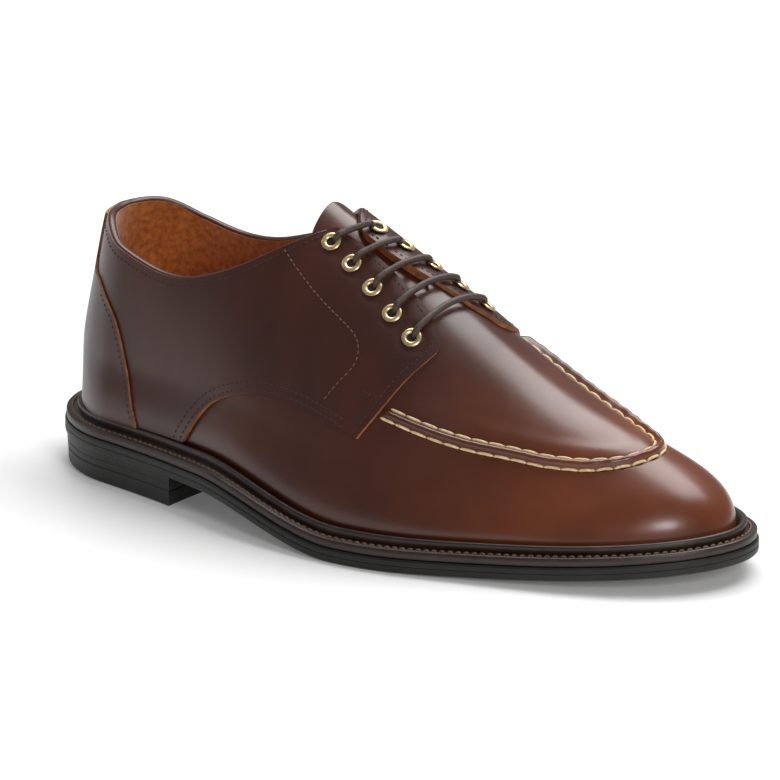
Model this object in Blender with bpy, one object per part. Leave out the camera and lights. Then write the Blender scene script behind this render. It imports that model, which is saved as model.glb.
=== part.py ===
"""An apron toe derby for the right foot, with a leather upper on a storm welt and a studded rubber sole.

Tables are in millimetres. Along X the shoe runs from heel to toe, its outer side is towards -Y and
the floor is at Z = 0. The upper follows one last: half widths from the sole's outline, a ridge line,
and a rounded section between them. Panels are drawn on it in two pattern coordinates. Station runs
along the shoe, fanning round heel and toe, and share runs up a rib from the welt, 0, to the top, 1.
"""

import math

import bmesh
import bpy
import numpy as np

MM = 0.001
GAP = 0.3

# The sole's outline and its height off the floor
SOLE_LENGTH = 301.0
HEEL_CAP, TOE_CAP, TOE_POWER = 40.0, 205.0, 1.95
SOLE_COLUMNS = ("x", "centre", "half_width")
SOLE_SECTIONS = (
    (0, 12.5, 38.0),
    (40, 7.3, 40.7),
    (80, -0.7, 43.0),
    (115, -9.8, 45.1),
    (140, -11.9, 48.7),
    (170, -9.6, 54.3),
    (193, -5.0, 56.1),
    (215, -0.8, 54.6),
    (240, 1.0, 52.9),
    (270, 1.6, 52.0),
    (301, 3.0, 52.5),
)
HEEL_LIFT = 11.5
SHANK_START, SHANK_END = 96.0, 168.0
SPRING_START, TOE_SPRING, SPRING_POWER = 181.0, 7.8, 1.65
OUTSOLE_THICK, WELT_THICK, STORM_RISE = 5.2, 3.3, 3.7
HEEL_REACH, TOE_REACH = 9.5, 8.3
REACH_START, REACH_RUN = 90.0, 60.0
WELT_EDGE, WELT_INSIDE = 0.7, 3.0
INSOLE_TOP = 9.7
RIB_PROFILE = ((0.0, 3.2), (3.2, 2.5), (3.7, 1.6), (3.3, 0.6), (0.0, 0.5))

# Heel block
TOP_PIECE_THICK = 6.0
BREAST_OUTER, BREAST_INNER, BREAST_HOLLOW = 80.0, 86.0, 2.5
HEEL_SETBACK = 0.8

# The last above the welt
LAST_COLUMNS = ("x", "ridge", "lean", "axis", "p", "q", "q_inner", "swell_outer", "swell_inner")
LAST_SECTIONS = (
    (8, 150, 0.0, 10.0, 2.0, 2.0, 2.0, 1.0, 1.0),
    (40, 152, 0.0, 7.3, 2.0, 2.0, 2.0, 2.5, 2.0),
    (75, 139, 4.0, 1.2, 1.9, 2.0, 2.0, 2.0, 0.5),
    (105, 123, 9.0, -4.6, 1.88, 2.0, 2.0, 1.5, -1.0),
    (130, 112, 12.0, -7.8, 1.8, 1.9, 1.9, 1.5, -1.5),
    (155, 99.8, 10.0, -9.2, 1.83, 1.82, 1.84, 1.5, -0.5),
    (180, 85.2, 6.3, -8.0, 1.92, 1.66, 1.85, 1.8, 1.0),
    (205, 67.8, 3.8, -4.2, 1.78, 1.45, 2.1, 2.6, 2.4),
    (230, 54.8, 2.4, 0.8, 1.9, 1.5, 1.62, 3.0, 3.0),
    (255, 47.4, 1.5, 3.0, 1.83, 1.52, 1.5, 3.0, 3.0),
    (275, 44.4, 1.0, 3.2, 2.1, 1.86, 1.86, 2.2, 2.2),
    (301, 42.0, 0.0, 3.0, 2.3, 2.3, 2.3, 1.5, 1.5),
)
SWELL_HEIGHT = 26.0
TOE_TOP_START, TOE_TOP_POWER = 232.0, 2.25
BACK_CURVE = ((0, 0.6), (12, 2.0), (24, 1.6), (38, 3.6), (52, 7.0), (66, 10.2), (90, 18.0), (200, 70))
BACK_START, BACK_RUN = 10.0, 75.0
HEEL_FAN, HEEL_FAN_RADIUS = 40.0, 31.0
TOE_FAN, TOE_FAN_RADIUS = 232.0, 47.0
STATION_BACK = HEEL_FAN - HEEL_FAN_RADIUS * math.pi / 2
STATION_TOE = TOE_FAN + TOE_FAN_RADIUS * math.pi / 2

# Panels, as station and share
COLLAR = (
    (-9, 0.548),
    (10, 0.552),
    (25, 0.54),
    (42.8, 0.488),
    (55.4, 0.473),
    (68.8, 0.483),
    (78, 0.51),
    (88, 0.56),
    (101.6, 0.65),
    (115.8, 0.785),
    (127.4, 0.915),
    (132.3, 0.975),
)
COLLAR_END = 132.3
FACING = ((132.3, 0.975), (147, 0.98), (157.4, 0.968), (170.4, 0.935), (179, 0.897), (183, 0.868), (184.9, 0.838), (185.6, 0.8))
QUARTER_ARC = (
    (80, 0.0),
    (84.9, 0.06),
    (92.3, 0.15),
    (104.1, 0.235),
    (118.4, 0.305),
    (133.3, 0.352),
    (148.5, 0.37),
    (168, 0.356),
)
FRONT_EDGE = ((168, 0.356), (173.5, 0.465), (177.7, 0.57), (181.3, 0.672), (183.6, 0.735), (185, 0.78), (185.6, 0.8))
QUARTER_END = 185.4
THROAT_END = 172.0
COUNTER_NECK = 10.4
COUNTER_EDGE = (
    (11.4, 0.43),
    (17, 0.402),
    (27, 0.388),
    (34, 0.362),
    (40, 0.325),
    (44.5, 0.275),
    (48.4, 0.205),
    (53, 0.12),
    (57, 0.045),
)
SEAM_COLUMNS = ("station", "outer_side", "inner_side")
SEAM = (
    (165, 0.482, 0.58),
    (176, 0.484, 0.6),
    (190, 0.49, 0.635),
    (205, 0.51, 0.674),
    (220, 0.532, 0.707),
    (232, 0.54, 0.73),
    (247, 0.542, 0.724),
    (265, 0.538, 0.69),
    (275, 0.54, 0.67),
    (285, 0.541, 0.625),
    (295, 0.55, 0.58),
    (305.8, 0.56, 0.56),
)
SEAM_STARTS, SEAM_RUN, SEAM_RISE = (176.0, 188.0), 8.0, 2.3
SEAM_HALF, SEAM_FOOT = 1.1, 2.4
PLAIN_END, SEAMED_START = 132.0, 172.0
INNER_SHIFT, SHIFT_START, SHIFT_RUN = 8.0, 60.0, 70.0

# Leather
WALL = 1.8
QUARTER_LIFT, QUARTER_THICK = 0.45, 1.2
QUARTER_FACE = QUARTER_LIFT + QUARTER_THICK
COUNTER_THICK, COUNTER_CLEAR, RIB_CLEAR = 1.0, 0.2, 0.9
TONGUE_THICK, TONGUE_DROP = 2.0, 2.8
TONGUE = ((124, 18.5), (128.5, 23), (132.3, 24.6), (136, 25), (140, 25), (148, 24), (156, 23), (163.5, 21.5), (172, 20), (182, 17), (192, 13))

# Eyelets and lace
EYELETS = (
    ((133.7, 0.92), (143.7, 0.925)),
    ((144.4, 0.9), (154.1, 0.905)),
    ((155.6, 0.868), (164.6, 0.88)),
    ((166.4, 0.825), (174.3, 0.852)),
    ((176.2, 0.785), (183.8, 0.826)),
)
EYELET_RADIUS, EYELET_HOLE, EYELET_THICK, EYELET_SIDES = 4.0, 1.9, 0.8, 10
LACE_RADIUS, LACE_CLEAR, LACE_POINTS = 1.25, 0.35, 9

# Studs under the sole, from the heel and the outer edge of the whole shoe
STUD_RADIUS, STUD_CORE, STUD_DEPTH, STUD_SIDES = 7.6, 4.6, 1.3, 8
HEEL_STUDS = ((66, 24), (41, 14), (63, -1), (39, -11), (60, -25), (17, 18), (16, -2))
FOREPART_STUDS = (
    (159, 14),
    (157, -9),
    (152, -33),
    (186, 26),
    (185, 5),
    (184, -15),
    (181, -37),
    (210, 25),
    (214, -1),
    (209, -28),
    (233, 24),
    (242, 1),
    (234, -22),
    (255, 19),
    (257, -15),
    (275, 2),
)


def natural_spline(xs, ys):
    """A natural cubic spline through the points, straight beyond its ends."""
    xs, ys = np.asarray(xs, float), np.asarray(ys, float)
    count, step = len(xs), np.diff(xs)
    matrix, right = np.eye(count), np.zeros(count)
    for i in range(1, count - 1):
        matrix[i, i - 1 : i + 2] = step[i - 1], 2 * (step[i - 1] + step[i]), step[i]
        right[i] = 6 * ((ys[i + 1] - ys[i]) / step[i] - (ys[i] - ys[i - 1]) / step[i - 1])
    bend = np.linalg.solve(matrix, right)
    slope_first = (ys[1] - ys[0]) / step[0] - bend[1] * step[0] / 6
    slope_last = (ys[-1] - ys[-2]) / step[-1] + bend[-2] * step[-1] / 6

    def at(x):
        x = np.asarray(x, float)
        i = np.clip(np.searchsorted(xs, x) - 1, 0, count - 2)
        past, left = x - xs[i], xs[i + 1] - x
        curve = (bend[i] * left**3 + bend[i + 1] * past**3) / (6 * step[i])
        curve = curve + (ys[i] / step[i] - bend[i] * step[i] / 6) * left
        curve = curve + (ys[i + 1] / step[i] - bend[i + 1] * step[i] / 6) * past
        curve = np.where(x < xs[0], ys[0] + (x - xs[0]) * slope_first, curve)
        return np.where(x > xs[-1], ys[-1] + (x - xs[-1]) * slope_last, curve)

    return at


def columns(names, rows):
    """One spline for each column after the first."""
    xs = [row[0] for row in rows]
    return {name: natural_spline(xs, [row[k + 1] for row in rows]) for k, name in enumerate(names[1:])}


def curve_through(points):
    return natural_spline([point[0] for point in points], [point[1] for point in points])


SOLE = columns(SOLE_COLUMNS, SOLE_SECTIONS)
LAST = columns(LAST_COLUMNS, LAST_SECTIONS)
BACK = curve_through(BACK_CURVE)
COLLAR_SHARE = curve_through(COLLAR)
FACING_SHARE = curve_through(FACING)
ARC_SHARE = curve_through(QUARTER_ARC)
FRONT_SHARE = curve_through(FRONT_EDGE)
COUNTER_SHARE = curve_through(COUNTER_EDGE)
SEAM_SHARE = columns(SEAM_COLUMNS, SEAM)


def smooth(t):
    t = np.clip(t, 0, 1)
    return t * t * (3 - 2 * t)


def signed_root(value, power):
    return np.sign(value) * np.abs(value) ** (1.0 / power)


def reach(x):
    """How far inside the sole's edge the upper meets the welt."""
    return HEEL_REACH + (TOE_REACH - HEEL_REACH) * smooth((x - REACH_START) / REACH_RUN)


def rounding(x, heel_end, toe_end):
    """1 along the sole, falling to 0 round the heel and round the toe."""
    heel = np.clip((HEEL_CAP - x) / (HEEL_CAP - heel_end), 0, None)
    toe = np.clip((x - TOE_CAP) / (toe_end - TOE_CAP), 0, None)
    return np.where(x < HEEL_CAP, signed_root(1 - heel**2, 2), signed_root(1 - toe**TOE_POWER, TOE_POWER))


def ends(inset, reaches):
    return inset + reaches * HEEL_REACH, SOLE_LENGTH - inset - reaches * TOE_REACH


def half_width(x, inset=0.0, reaches=0.0):
    """Half width of the sole's outline moved in by inset and by a number of reaches."""
    x = np.asarray(x, float)
    return (SOLE["half_width"](x) - inset - reaches * reach(x)) * rounding(x, *ends(inset, reaches))


def centre(x):
    return SOLE["centre"](np.clip(x, 0, SOLE_LENGTH))


def sole_bottom(x):
    """Height of the sole's underside: on the heel, down the shank, flat at the ball, up the toe."""
    toe = np.clip((x - SPRING_START) / (SOLE_LENGTH - SPRING_START), 0, None)
    drop = smooth((x - SHANK_START) / (SHANK_END - SHANK_START))
    return HEEL_LIFT * (1 - drop) + TOE_SPRING * toe**SPRING_POWER


def feather(x):
    """Height of the welt's flat, where the upper starts."""
    return sole_bottom(x) + OUTSOLE_THICK + WELT_THICK


def ridge_height(x):
    low = feather(x)
    toe = np.clip((x - TOE_TOP_START) / (SOLE_LENGTH - TOE_REACH - TOE_TOP_START), 0, None)
    return low + (LAST["ridge"](x) - low) * signed_root(1 - toe**TOE_TOP_POWER, TOE_TOP_POWER)


def outside(x, y, z):
    """Below 0 inside the last, above 0 outside it."""
    low, top = feather(x), ridge_height(x)
    rise = np.clip((z - low) / np.maximum(top - low, 1e-6), 0, None)
    off = y - centre(x) - LAST["lean"](x) * np.clip(rise, 0, 1)
    along = x - BACK(z - low) * (1 - smooth((x - BACK_START) / BACK_RUN))
    width = half_width(along, 0.0, 1.0)
    power = np.where(off > 0, LAST["q_inner"](x), LAST["q"](x))
    body = np.clip(1 - rise**power, 0, None) ** (1 / LAST["p"](x))
    side = np.where(off > 0, LAST["swell_inner"](x), LAST["swell_outer"](x))
    height = np.clip((z - low) / SWELL_HEIGHT, 0, 1)
    swell = side * 6.75 * height * (1 - height) ** 2 * rounding(along, *ends(0.0, 1.0))
    inside = (width > 0) & (rise < 1) & (top > low)
    return np.abs(off) - np.where(inside, width * body + swell, -1.0)


def cast(origin, direction, reach_mm=200.0, halvings=34):
    """Where rays from inside the last meet its surface."""
    near, far = np.zeros(origin[0].shape), np.full(origin[0].shape, reach_mm)
    for _ in range(halvings):
        middle = (near + far) / 2
        out = outside(*(o + d * middle for o, d in zip(origin, direction))) > 0
        far, near = np.where(out, middle, far), np.where(out, near, middle)
    return [o + d * (near + far) / 2 for o, d in zip(origin, direction)]


RAYS = 121


def rib_table(stations, inner):
    """Points up the rib at each station, and the girth up to each of them."""
    stations = np.asarray(stations, float)
    x0 = np.clip(stations, HEEL_FAN, TOE_FAN)
    y0 = LAST["axis"](x0)
    turn = np.where(stations > TOE_FAN, (stations - TOE_FAN) / TOE_FAN_RADIUS, 0.0)
    turn = np.where(stations < HEEL_FAN, (stations - HEEL_FAN) / HEEL_FAN_RADIUS, turn)
    turn = np.clip(turn, -math.pi / 2, math.pi / 2)
    dx, dy = np.sin(turn), np.cos(turn) * (1.0 if inner else -1.0)
    foot = cast((x0, y0, feather(x0)), (dx, dy, np.zeros_like(x0)))
    z0 = feather(foot[0])
    angle = np.linspace(0, math.pi / 2, RAYS)
    shape = (len(stations), RAYS)
    origin = [np.broadcast_to(v[:, None], shape) for v in (x0, y0, z0)]
    across = np.cos(angle)[None, :]
    direction = [dx[:, None] * across, dy[:, None] * across, np.broadcast_to(np.sin(angle), shape)]
    points = np.stack(cast(origin, direction), -1)
    girth = np.zeros(shape)
    girth[:, 1:] = np.cumsum(np.linalg.norm(np.diff(points, axis=1), axis=2), 1)
    return points, girth


def on_rib(points, girth, share):
    out = np.empty((len(share), 3))
    for k in range(3):
        out[:, k] = np.interp(share * girth[-1], girth, points[:, k])
    return out


def surface(stations, shares, inner, lifts=0.0):
    """Points at these stations and shares (one row of shares for each station), raised by the lifts."""
    stations = np.asarray(stations, float)
    shares = np.asarray(shares, float)
    lifts = np.broadcast_to(lifts, shares.shape)
    step = 0.6
    before = rib_table(np.clip(stations - step, STATION_BACK - step, STATION_TOE), inner)
    here = rib_table(stations, inner)
    after = rib_table(np.clip(stations + step, STATION_BACK, STATION_TOE + step), inner)
    out = np.empty(shares.shape + (3,))
    for i in range(len(stations)):
        up = shares[i] + 0.004
        down = shares[i] - 0.004
        rise = on_rib(here[0][i], here[1][i], up) - on_rib(here[0][i], here[1][i], np.clip(down, 0, 1))
        run = on_rib(after[0][i], after[1][i], shares[i]) - on_rib(before[0][i], before[1][i], shares[i])
        normal = np.cross(run, rise) * (-1.0 if inner else 1.0)
        size = np.linalg.norm(normal, axis=1, keepdims=True)
        flat = size[:, 0] < 1e-6
        normal = np.where(flat[:, None], (0.0, 0.0, 1.0), normal / np.maximum(size, 1e-9))
        out[i] = on_rib(here[0][i], here[1][i], shares[i]) + normal * lifts[i][:, None]
    return out


SHOE_STATIONS = np.linspace(STATION_BACK, STATION_TOE, 400)
PATTERN_STATIONS = SHOE_STATIONS - INNER_SHIFT * smooth((SHOE_STATIONS - SHIFT_START) / SHIFT_RUN)


def pattern_station(station, inner):
    """The inner side's panels are the outer side's, set forward towards the throat."""
    return np.interp(station, SHOE_STATIONS, PATTERN_STATIONS) if inner else station


def shoe_station(station, inner):
    return float(np.interp(station, PATTERN_STATIONS, SHOE_STATIONS)) if inner else station


def girths(stations, inner):
    return rib_table(stations, inner)[1][:, -1]


def facing_top(station, inner):
    """Share of the topline, then of the facing's edge."""
    pattern = pattern_station(station, inner)
    return float(COLLAR_SHARE(pattern) if pattern < COLLAR_END else FACING_SHARE(pattern))


# Stations of the upper's ribs, shared by its panels so that the layers' facets nest
RIBS = (
    *np.linspace(STATION_BACK, HEEL_FAN, 9),
    *(49, 58, 67, 76, 85, 94, 103, 112, 119, 124, 128.5, 132.3, 136, 140, 148, 156, 163.5, 168.5, 172, 176, 182, 188),
    *(195, 204, 213, 222.5),
    *np.linspace(TOE_FAN, STATION_TOE, 10),
)
LEVELS_BELOW, LEVELS_ABOVE, CROWDING = 5, 7, 1.2


def crowded(low, high, count):
    """Rows that lie closer together towards the high end, where the instep is tightly rounded."""
    return low + (high - low) * (1 - (1 - np.linspace(0, 1, count)) ** CROWDING)


def upper_levels(station, girth, inner):
    """Shares of the rows up one rib: even at the heel, and on the raised seam at the toe."""
    top = 1.0 if station > THROAT_END - 0.5 else facing_top(station, inner)
    low = GAP / girth
    seam = float(SEAM_SHARE[SEAM_COLUMNS[2 if inner else 1]](max(station, SEAM[0][0])))
    foot, half = SEAM_FOOT / girth, SEAM_HALF / girth
    below = np.linspace(low, seam - foot, LEVELS_BELOW)
    above = crowded(seam + foot, max(top, seam + 2 * foot), LEVELS_ABOVE)
    seamed = np.concatenate([below, [seam - half, seam + half], above])
    plain = crowded(low, top, len(seamed))
    mix = smooth((station - PLAIN_END) / (SEAMED_START - PLAIN_END))
    rows = plain + (seamed - plain) * mix
    lift = np.zeros(len(rows))
    start = SEAM_STARTS[1 if inner else 0]
    lift[LEVELS_BELOW : LEVELS_BELOW + 2] = SEAM_RISE * smooth((station - start) / SEAM_RUN)
    return rows, lift


def grid_faces(ids):
    """Faces of a grid of vertex numbers, where repeated numbers make triangles."""
    faces = []
    for i in range(len(ids) - 1):
        for j in range(len(ids[0]) - 1):
            loop = [ids[i][j], ids[i + 1][j], ids[i + 1][j + 1], ids[i][j + 1]]
            kept = [int(v) for k, v in enumerate(loop) if v != loop[k - 1]]
            if len(kept) > 2:
                faces.append(kept)
    return faces


def between(outer, inner, faces):
    """The closed solid between two sheets that have the same faces."""
    count = len(outer)
    uses = {}
    for face in faces:
        for a, b in zip(face, face[1:] + face[:1]):
            uses.setdefault(frozenset((a, b)), []).append((a, b))
    rims = [pairs[0] for pairs in uses.values() if len(pairs) == 1]
    closed = [tuple(face) for face in faces]
    closed += [tuple(count + v for v in reversed(face)) for face in faces]
    closed += [(b, a, count + a, count + b) for a, b in rims]
    return np.concatenate([outer, inner]), closed


def loft(rings):
    """The closed solid through rings of equal count, with flat ends."""
    count = len(rings[0])
    faces = [tuple(reversed(range(count)))]
    for k in range(len(rings) - 1):
        a = k * count
        faces += [(a + i, a + (i + 1) % count, a + count + (i + 1) % count, a + count + i) for i in range(count)]
    faces.append(tuple((len(rings) - 1) * count + i for i in range(count)))
    return np.concatenate(rings), faces


def torus(rings):
    """The closed ring through sections, each a closed loop of equal count."""
    count, total = len(rings[0]), len(rings)
    faces = []
    for k in range(total):
        a, b = k * count, (k + 1) % total * count
        faces += [(a + i, a + (i + 1) % count, b + (i + 1) % count, b + i) for i in range(count)]
    return np.concatenate(rings), faces


def shape_upper():
    ribs = np.array(RIBS)
    sheets = []
    for inner in (False, True):
        girth = girths(ribs, inner)
        rows = [upper_levels(u, g, inner) for u, g in zip(ribs, girth)]
        shares = np.array([row[0] for row in rows])
        outer = surface(ribs, shares, inner, np.array([row[1] for row in rows]))
        wall = surface(ribs, shares, inner, -WALL)
        wall[:, 0, 2] = outer[:, 0, 2]
        sheets.append((outer, wall))
    count, levels = sheets[0][0].shape[:2]
    ids = [np.arange(count * levels).reshape(count, levels) + side * count * levels for side in (0, 1)]
    closed = ribs > THROAT_END - 0.5
    ids[1][closed, -1] = ids[0][closed, -1]
    for side in (0, 1):
        ids[side][ribs >= TOE_FAN - 0.01, -1] = ids[0][np.argmax(ribs >= TOE_FAN - 0.01), -1]
    ids[1][0], ids[1][-1] = ids[0][0], ids[0][-1]
    ids[1][-1, -1] = ids[0][-1, -1]
    faces = grid_faces(ids[0].tolist()) + [face[::-1] for face in grid_faces(ids[1].tolist())]
    outer, wall = (np.concatenate([sheets[0][k].reshape(-1, 3), sheets[1][k].reshape(-1, 3)]) for k in (0, 1))
    return between(outer, wall, faces)


def panel(stations, lows, tops, inner, rows, lift, thick):
    """A skin over the upper between two edges."""
    shares = np.array([crowded(low, top, rows) for low, top in zip(lows, tops)])
    near = surface(stations, shares, inner, lift)
    far = surface(stations, shares, inner, lift + thick)
    ids = np.arange(shares.size).reshape(shares.shape).tolist()
    return between(far.reshape(-1, 3), near.reshape(-1, 3), grid_faces(ids))


def quarter_low(station, girth, inner):
    """Share of a quarter's lower edge: over the welt's rib, then the arc, then up the front."""
    pattern = pattern_station(station, inner)
    rib = (STORM_RISE + RIB_CLEAR) / girth
    if pattern < QUARTER_ARC[0][0]:
        return rib
    edge = ARC_SHARE(pattern) if pattern < FRONT_EDGE[0][0] else FRONT_SHARE(pattern)
    return max(rib, float(edge))


def shape_quarter(inner):
    last = shoe_station(QUARTER_END, inner)
    first = STATION_BACK + GAP
    extra = [shoe_station(u, inner) for u, _ in FRONT_EDGE[:-1]] + [shoe_station(QUARTER_ARC[0][0], inner)]
    stations = [u for u in RIBS if first + 1 < u < last - 1]
    stations += [u for u in extra if min(abs(u - v) for v in stations) > 1.5]
    stations = np.array(sorted([first, *stations, last]))
    girth = girths(stations, inner)
    lows = [quarter_low(u, g, inner) for u, g in zip(stations, girth)]
    tops = [facing_top(u, inner) for u in stations]
    return panel(stations, lows, tops, inner, 10, QUARTER_LIFT, QUARTER_THICK)


def shape_counter():
    """Wraps the heel over both quarters, high at the back and falling forward to the welt."""
    lift = QUARTER_FACE + GAP + COUNTER_CLEAR
    rows = 8
    back = [u for u in RIBS if u < COUNTER_NECK - 0.5] + [COUNTER_NECK]
    edge = [u for u, _ in COUNTER_EDGE]
    stations = back + edge[:1] + [u for u in RIBS if edge[0] + 1 < u < edge[5] - 1] + edge[5:]
    sides = []
    for inner in (False, True):
        tops = [facing_top(u, inner) - 0.004 if u < COUNTER_NECK + 0.1 else float(COUNTER_SHARE(u)) for u in stations]
        base = (STORM_RISE + 1.5 * RIB_CLEAR) / girths(stations, inner)
        shares = np.array([np.linspace(low, top, rows) for low, top in zip(base, tops)])
        near = surface(stations, shares, inner, lift)
        far = surface(stations, shares, inner, lift + COUNTER_THICK)
        sides.append((near, far))
    near, far = (np.concatenate([sides[1][k][:0:-1], sides[0][k]]) for k in (0, 1))
    ids = np.arange(near.shape[0] * near.shape[1]).reshape(near.shape[:2]).tolist()
    return between(far.reshape(-1, 3), near.reshape(-1, 3), grid_faces(ids))


def over_top(stations, offsets, lifts):
    """Points over the top of the upper, offsets in mm across from the centre line."""
    offsets, lifts = np.asarray(offsets, float), np.broadcast_to(lifts, np.shape(offsets))
    out = np.empty(offsets.shape + (3,))
    for i, station in enumerate(stations):
        for inner in (False, True):
            chosen = (offsets[i] > 0) == inner
            if chosen.any():
                shares = 1 - np.abs(offsets[i][chosen]) / girths([station], inner)[0]
                out[i, chosen] = surface([station], [shares], inner, [lifts[i][chosen]])[0]
    return out


def shape_tongue():
    stations = [u for u, _ in TONGUE]
    offsets = [np.linspace(-half, half, 13) for _, half in TONGUE]
    shape = (len(stations), 13)
    near = over_top(stations, offsets, -TONGUE_DROP - TONGUE_THICK)
    far = over_top(stations, offsets, -TONGUE_DROP)
    ids = np.arange(shape[0] * shape[1]).reshape(shape).tolist()
    return between(far.reshape(-1, 3), near.reshape(-1, 3), grid_faces(ids))


def outline_x(inset, reaches):
    """Stations of an outline from heel to toe, close together round both ends."""
    heel_end, toe_end = ends(inset, reaches)
    heel = HEEL_CAP - (HEEL_CAP - heel_end) * np.cos(np.linspace(0, math.pi / 2, 8))
    middle = np.array([50, 60, 70, 80, 88, 96, 106, 117, 128, 139, 150, 159, 168, 181, 193])
    toe = TOE_CAP + (toe_end - TOE_CAP) * np.sin(np.linspace(0, math.pi / 2, 13))
    return np.concatenate([heel, middle, toe])


def outline(inset, reaches, height):
    """One loop round the sole, its height above the sole's underside."""
    x = outline_x(inset, reaches)
    half = np.clip(half_width(x, inset, reaches), 0, None)
    z = sole_bottom(x) + height
    outer = np.stack([x, centre(x) - half, z], 1)
    inner = np.stack([x, centre(x) + half, z], 1)
    return np.concatenate([outer, inner[-2:0:-1]])


def strips(count, base, flip):
    """Faces across a loop made by outline, one strip for each pair of stations."""
    faces = []
    for k in range(count // 2):
        loop = [k, k + 1, (count - k - 1) % count, (count - k) % count]
        kept = [v for n, v in enumerate(loop) if v != loop[n - 1]]
        faces.append(tuple(base + v for v in (kept[::-1] if flip else kept)))
    return faces


def shape_plate(inset, reaches, low, high):
    """A plate that follows the sole's underside."""
    rings = [outline(inset, reaches, low), outline(inset, reaches, high)]
    count = len(rings[0])
    faces = strips(count, 0, True) + strips(count, count, False)
    faces += [(i, (i + 1) % count, count + (i + 1) % count, count + i) for i in range(count)]
    return np.concatenate(rings), faces


def swell_at(points, height):
    """How far the upper swells over the welt at this height."""
    x = points[:, 0]
    side = np.where(points[:, 1] > centre(x), LAST["swell_inner"](x), LAST["swell_outer"](x))
    rise = height / SWELL_HEIGHT
    return np.maximum(side, 0) * 6.75 * rise * (1 - rise) ** 2


def pushed(loop, amount):
    """A loop moved outwards, level, by an amount at each point."""
    run = np.roll(loop, -1, 0) - np.roll(loop, 1, 0)
    out = np.stack([run[:, 1], -run[:, 0]], 1)
    out = out / np.linalg.norm(out, axis=1, keepdims=True)
    moved = loop.copy()
    moved[:, :2] += out * np.asarray(amount)[:, None]
    return moved


def shape_welt():
    """A ring round the upper's foot with a storm rib that leans out with the upper."""
    low = OUTSOLE_THICK + GAP
    flat = OUTSOLE_THICK + WELT_THICK
    foot = outline(0.0, 1.0, flat)
    loops = [outline(WELT_EDGE, 0.0, low), outline(WELT_EDGE, 0.0, flat)]
    for height, stand in RIB_PROFILE:
        raised = foot + np.array([0, 0, height])
        loops.append(pushed(raised, stand + swell_at(foot, height)))
    loops += [outline(WELT_INSIDE, 1.0, flat), outline(WELT_INSIDE, 1.0, low)]
    return torus([np.array(section) for section in zip(*loops)])


def heel_loop(inset, height):
    """The heel's outline up to a breast that runs further forward on the inner side."""
    start = HEEL_SETBACK + inset
    loop = []
    for side, breast in ((-1, BREAST_OUTER), (1, BREAST_INNER)):
        x = HEEL_CAP - (HEEL_CAP - start) * np.cos(np.linspace(0, math.pi / 2, 9))
        x = np.concatenate([x, np.linspace(HEEL_CAP, breast, 6)[1:]])
        half = np.clip(half_width(x, start), 0, None)
        loop.append(np.stack([x, centre(x) + side * half, np.full_like(x, height)], 1))
    outer, inner = loop
    step = np.linspace(0, 1, 9)[1:-1, None]
    breast = outer[-1] + (inner[-1] - outer[-1]) * step
    breast[:, 0] -= BREAST_HOLLOW * 4 * (step * (1 - step))[:, 0]
    return np.concatenate([outer, breast, inner[:0:-1]])


def stud_rings(studs, underside):
    """Ring-shaped cutters for the studs, all in one mesh."""
    points, faces = [], []
    turn = np.linspace(0, 2 * math.pi, STUD_SIDES, endpoint=False)
    for x, y in studs:
        sections = []
        for angle in turn:
            section = []
            for radius, high in ((STUD_RADIUS, -1), (STUD_RADIUS, 1), (STUD_CORE, 1), (STUD_CORE, -1)):
                px, py = x + radius * math.cos(angle), y + radius * math.sin(angle)
                depth = STUD_DEPTH if high > 0 else -1.0
                section.append((px, py, float(underside(px)) + depth))
            sections.append(np.array(section))
        ring, sides = torus(sections)
        base = sum(len(part) for part in points)
        points.append(ring)
        faces += [tuple(base + v for v in face) for face in sides]
    return np.concatenate(points), faces


def frame_on(station, share, inner, lift):
    """A point over the upper, its outward normal, and a direction along the shoe."""
    low = surface([station], [[share]], inner, lift)[0, 0]
    high = surface([station], [[share]], inner, lift + 1.0)[0, 0]
    normal = (high - low) / np.linalg.norm(high - low)
    along = np.cross(normal, (0.0, -1.0, 0.0))
    along = along / np.linalg.norm(along)
    return low, normal, along


def shape_eyelet(station, share, inner):
    lift = QUARTER_FACE + GAP
    point, normal, along = frame_on(station, share, inner, lift)
    side = np.cross(normal, along)
    sections = []
    for angle in np.linspace(0, 2 * math.pi, EYELET_SIDES, endpoint=False):
        out = along * math.cos(angle) + side * math.sin(angle)
        corners = ((EYELET_HOLE, 0), (EYELET_RADIUS, 0), (EYELET_RADIUS - 0.5, EYELET_THICK), (EYELET_HOLE, EYELET_THICK))
        sections.append(np.array([point + out * radius + normal * up for radius, up in corners]))
    return torus(sections)


def shape_lace_bar(outer_hole, inner_hole):
    """A round lace from one eyelet over the throat to the other."""
    (u_outer, share_outer), (u_inner, share_inner) = outer_hole, inner_hole
    start = -(1 - share_outer) * girths([u_outer], False)[0]
    end = (1 - share_inner) * girths([u_inner], True)[0]
    over = QUARTER_FACE + GAP + EYELET_THICK + 2 * LACE_CLEAR + LACE_RADIUS
    low = QUARTER_FACE + LACE_CLEAR + LACE_RADIUS
    step = np.linspace(0, 1, LACE_POINTS)
    lift = low + (over - low) * smooth(3.5 * np.abs(2 * step - 1) - 1.0)
    stations = u_outer + (u_inner - u_outer) * step
    path = over_top(stations, (start + (end - start) * step)[:, None], lift[:, None])[:, 0]
    ahead = np.gradient(path, axis=0)
    rings = []
    for point, run in zip(path, ahead):
        run = run / np.linalg.norm(run)
        right = np.cross(run, (0.0, 0.0, 1.0))
        right = right / np.linalg.norm(right)
        up = np.cross(right, run)
        angles = np.linspace(0, 2 * math.pi, 8, endpoint=False)
        rings.append(np.array([point + LACE_RADIUS * (right * math.cos(a) + up * math.sin(a)) for a in angles]))
    return loft(rings)


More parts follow.
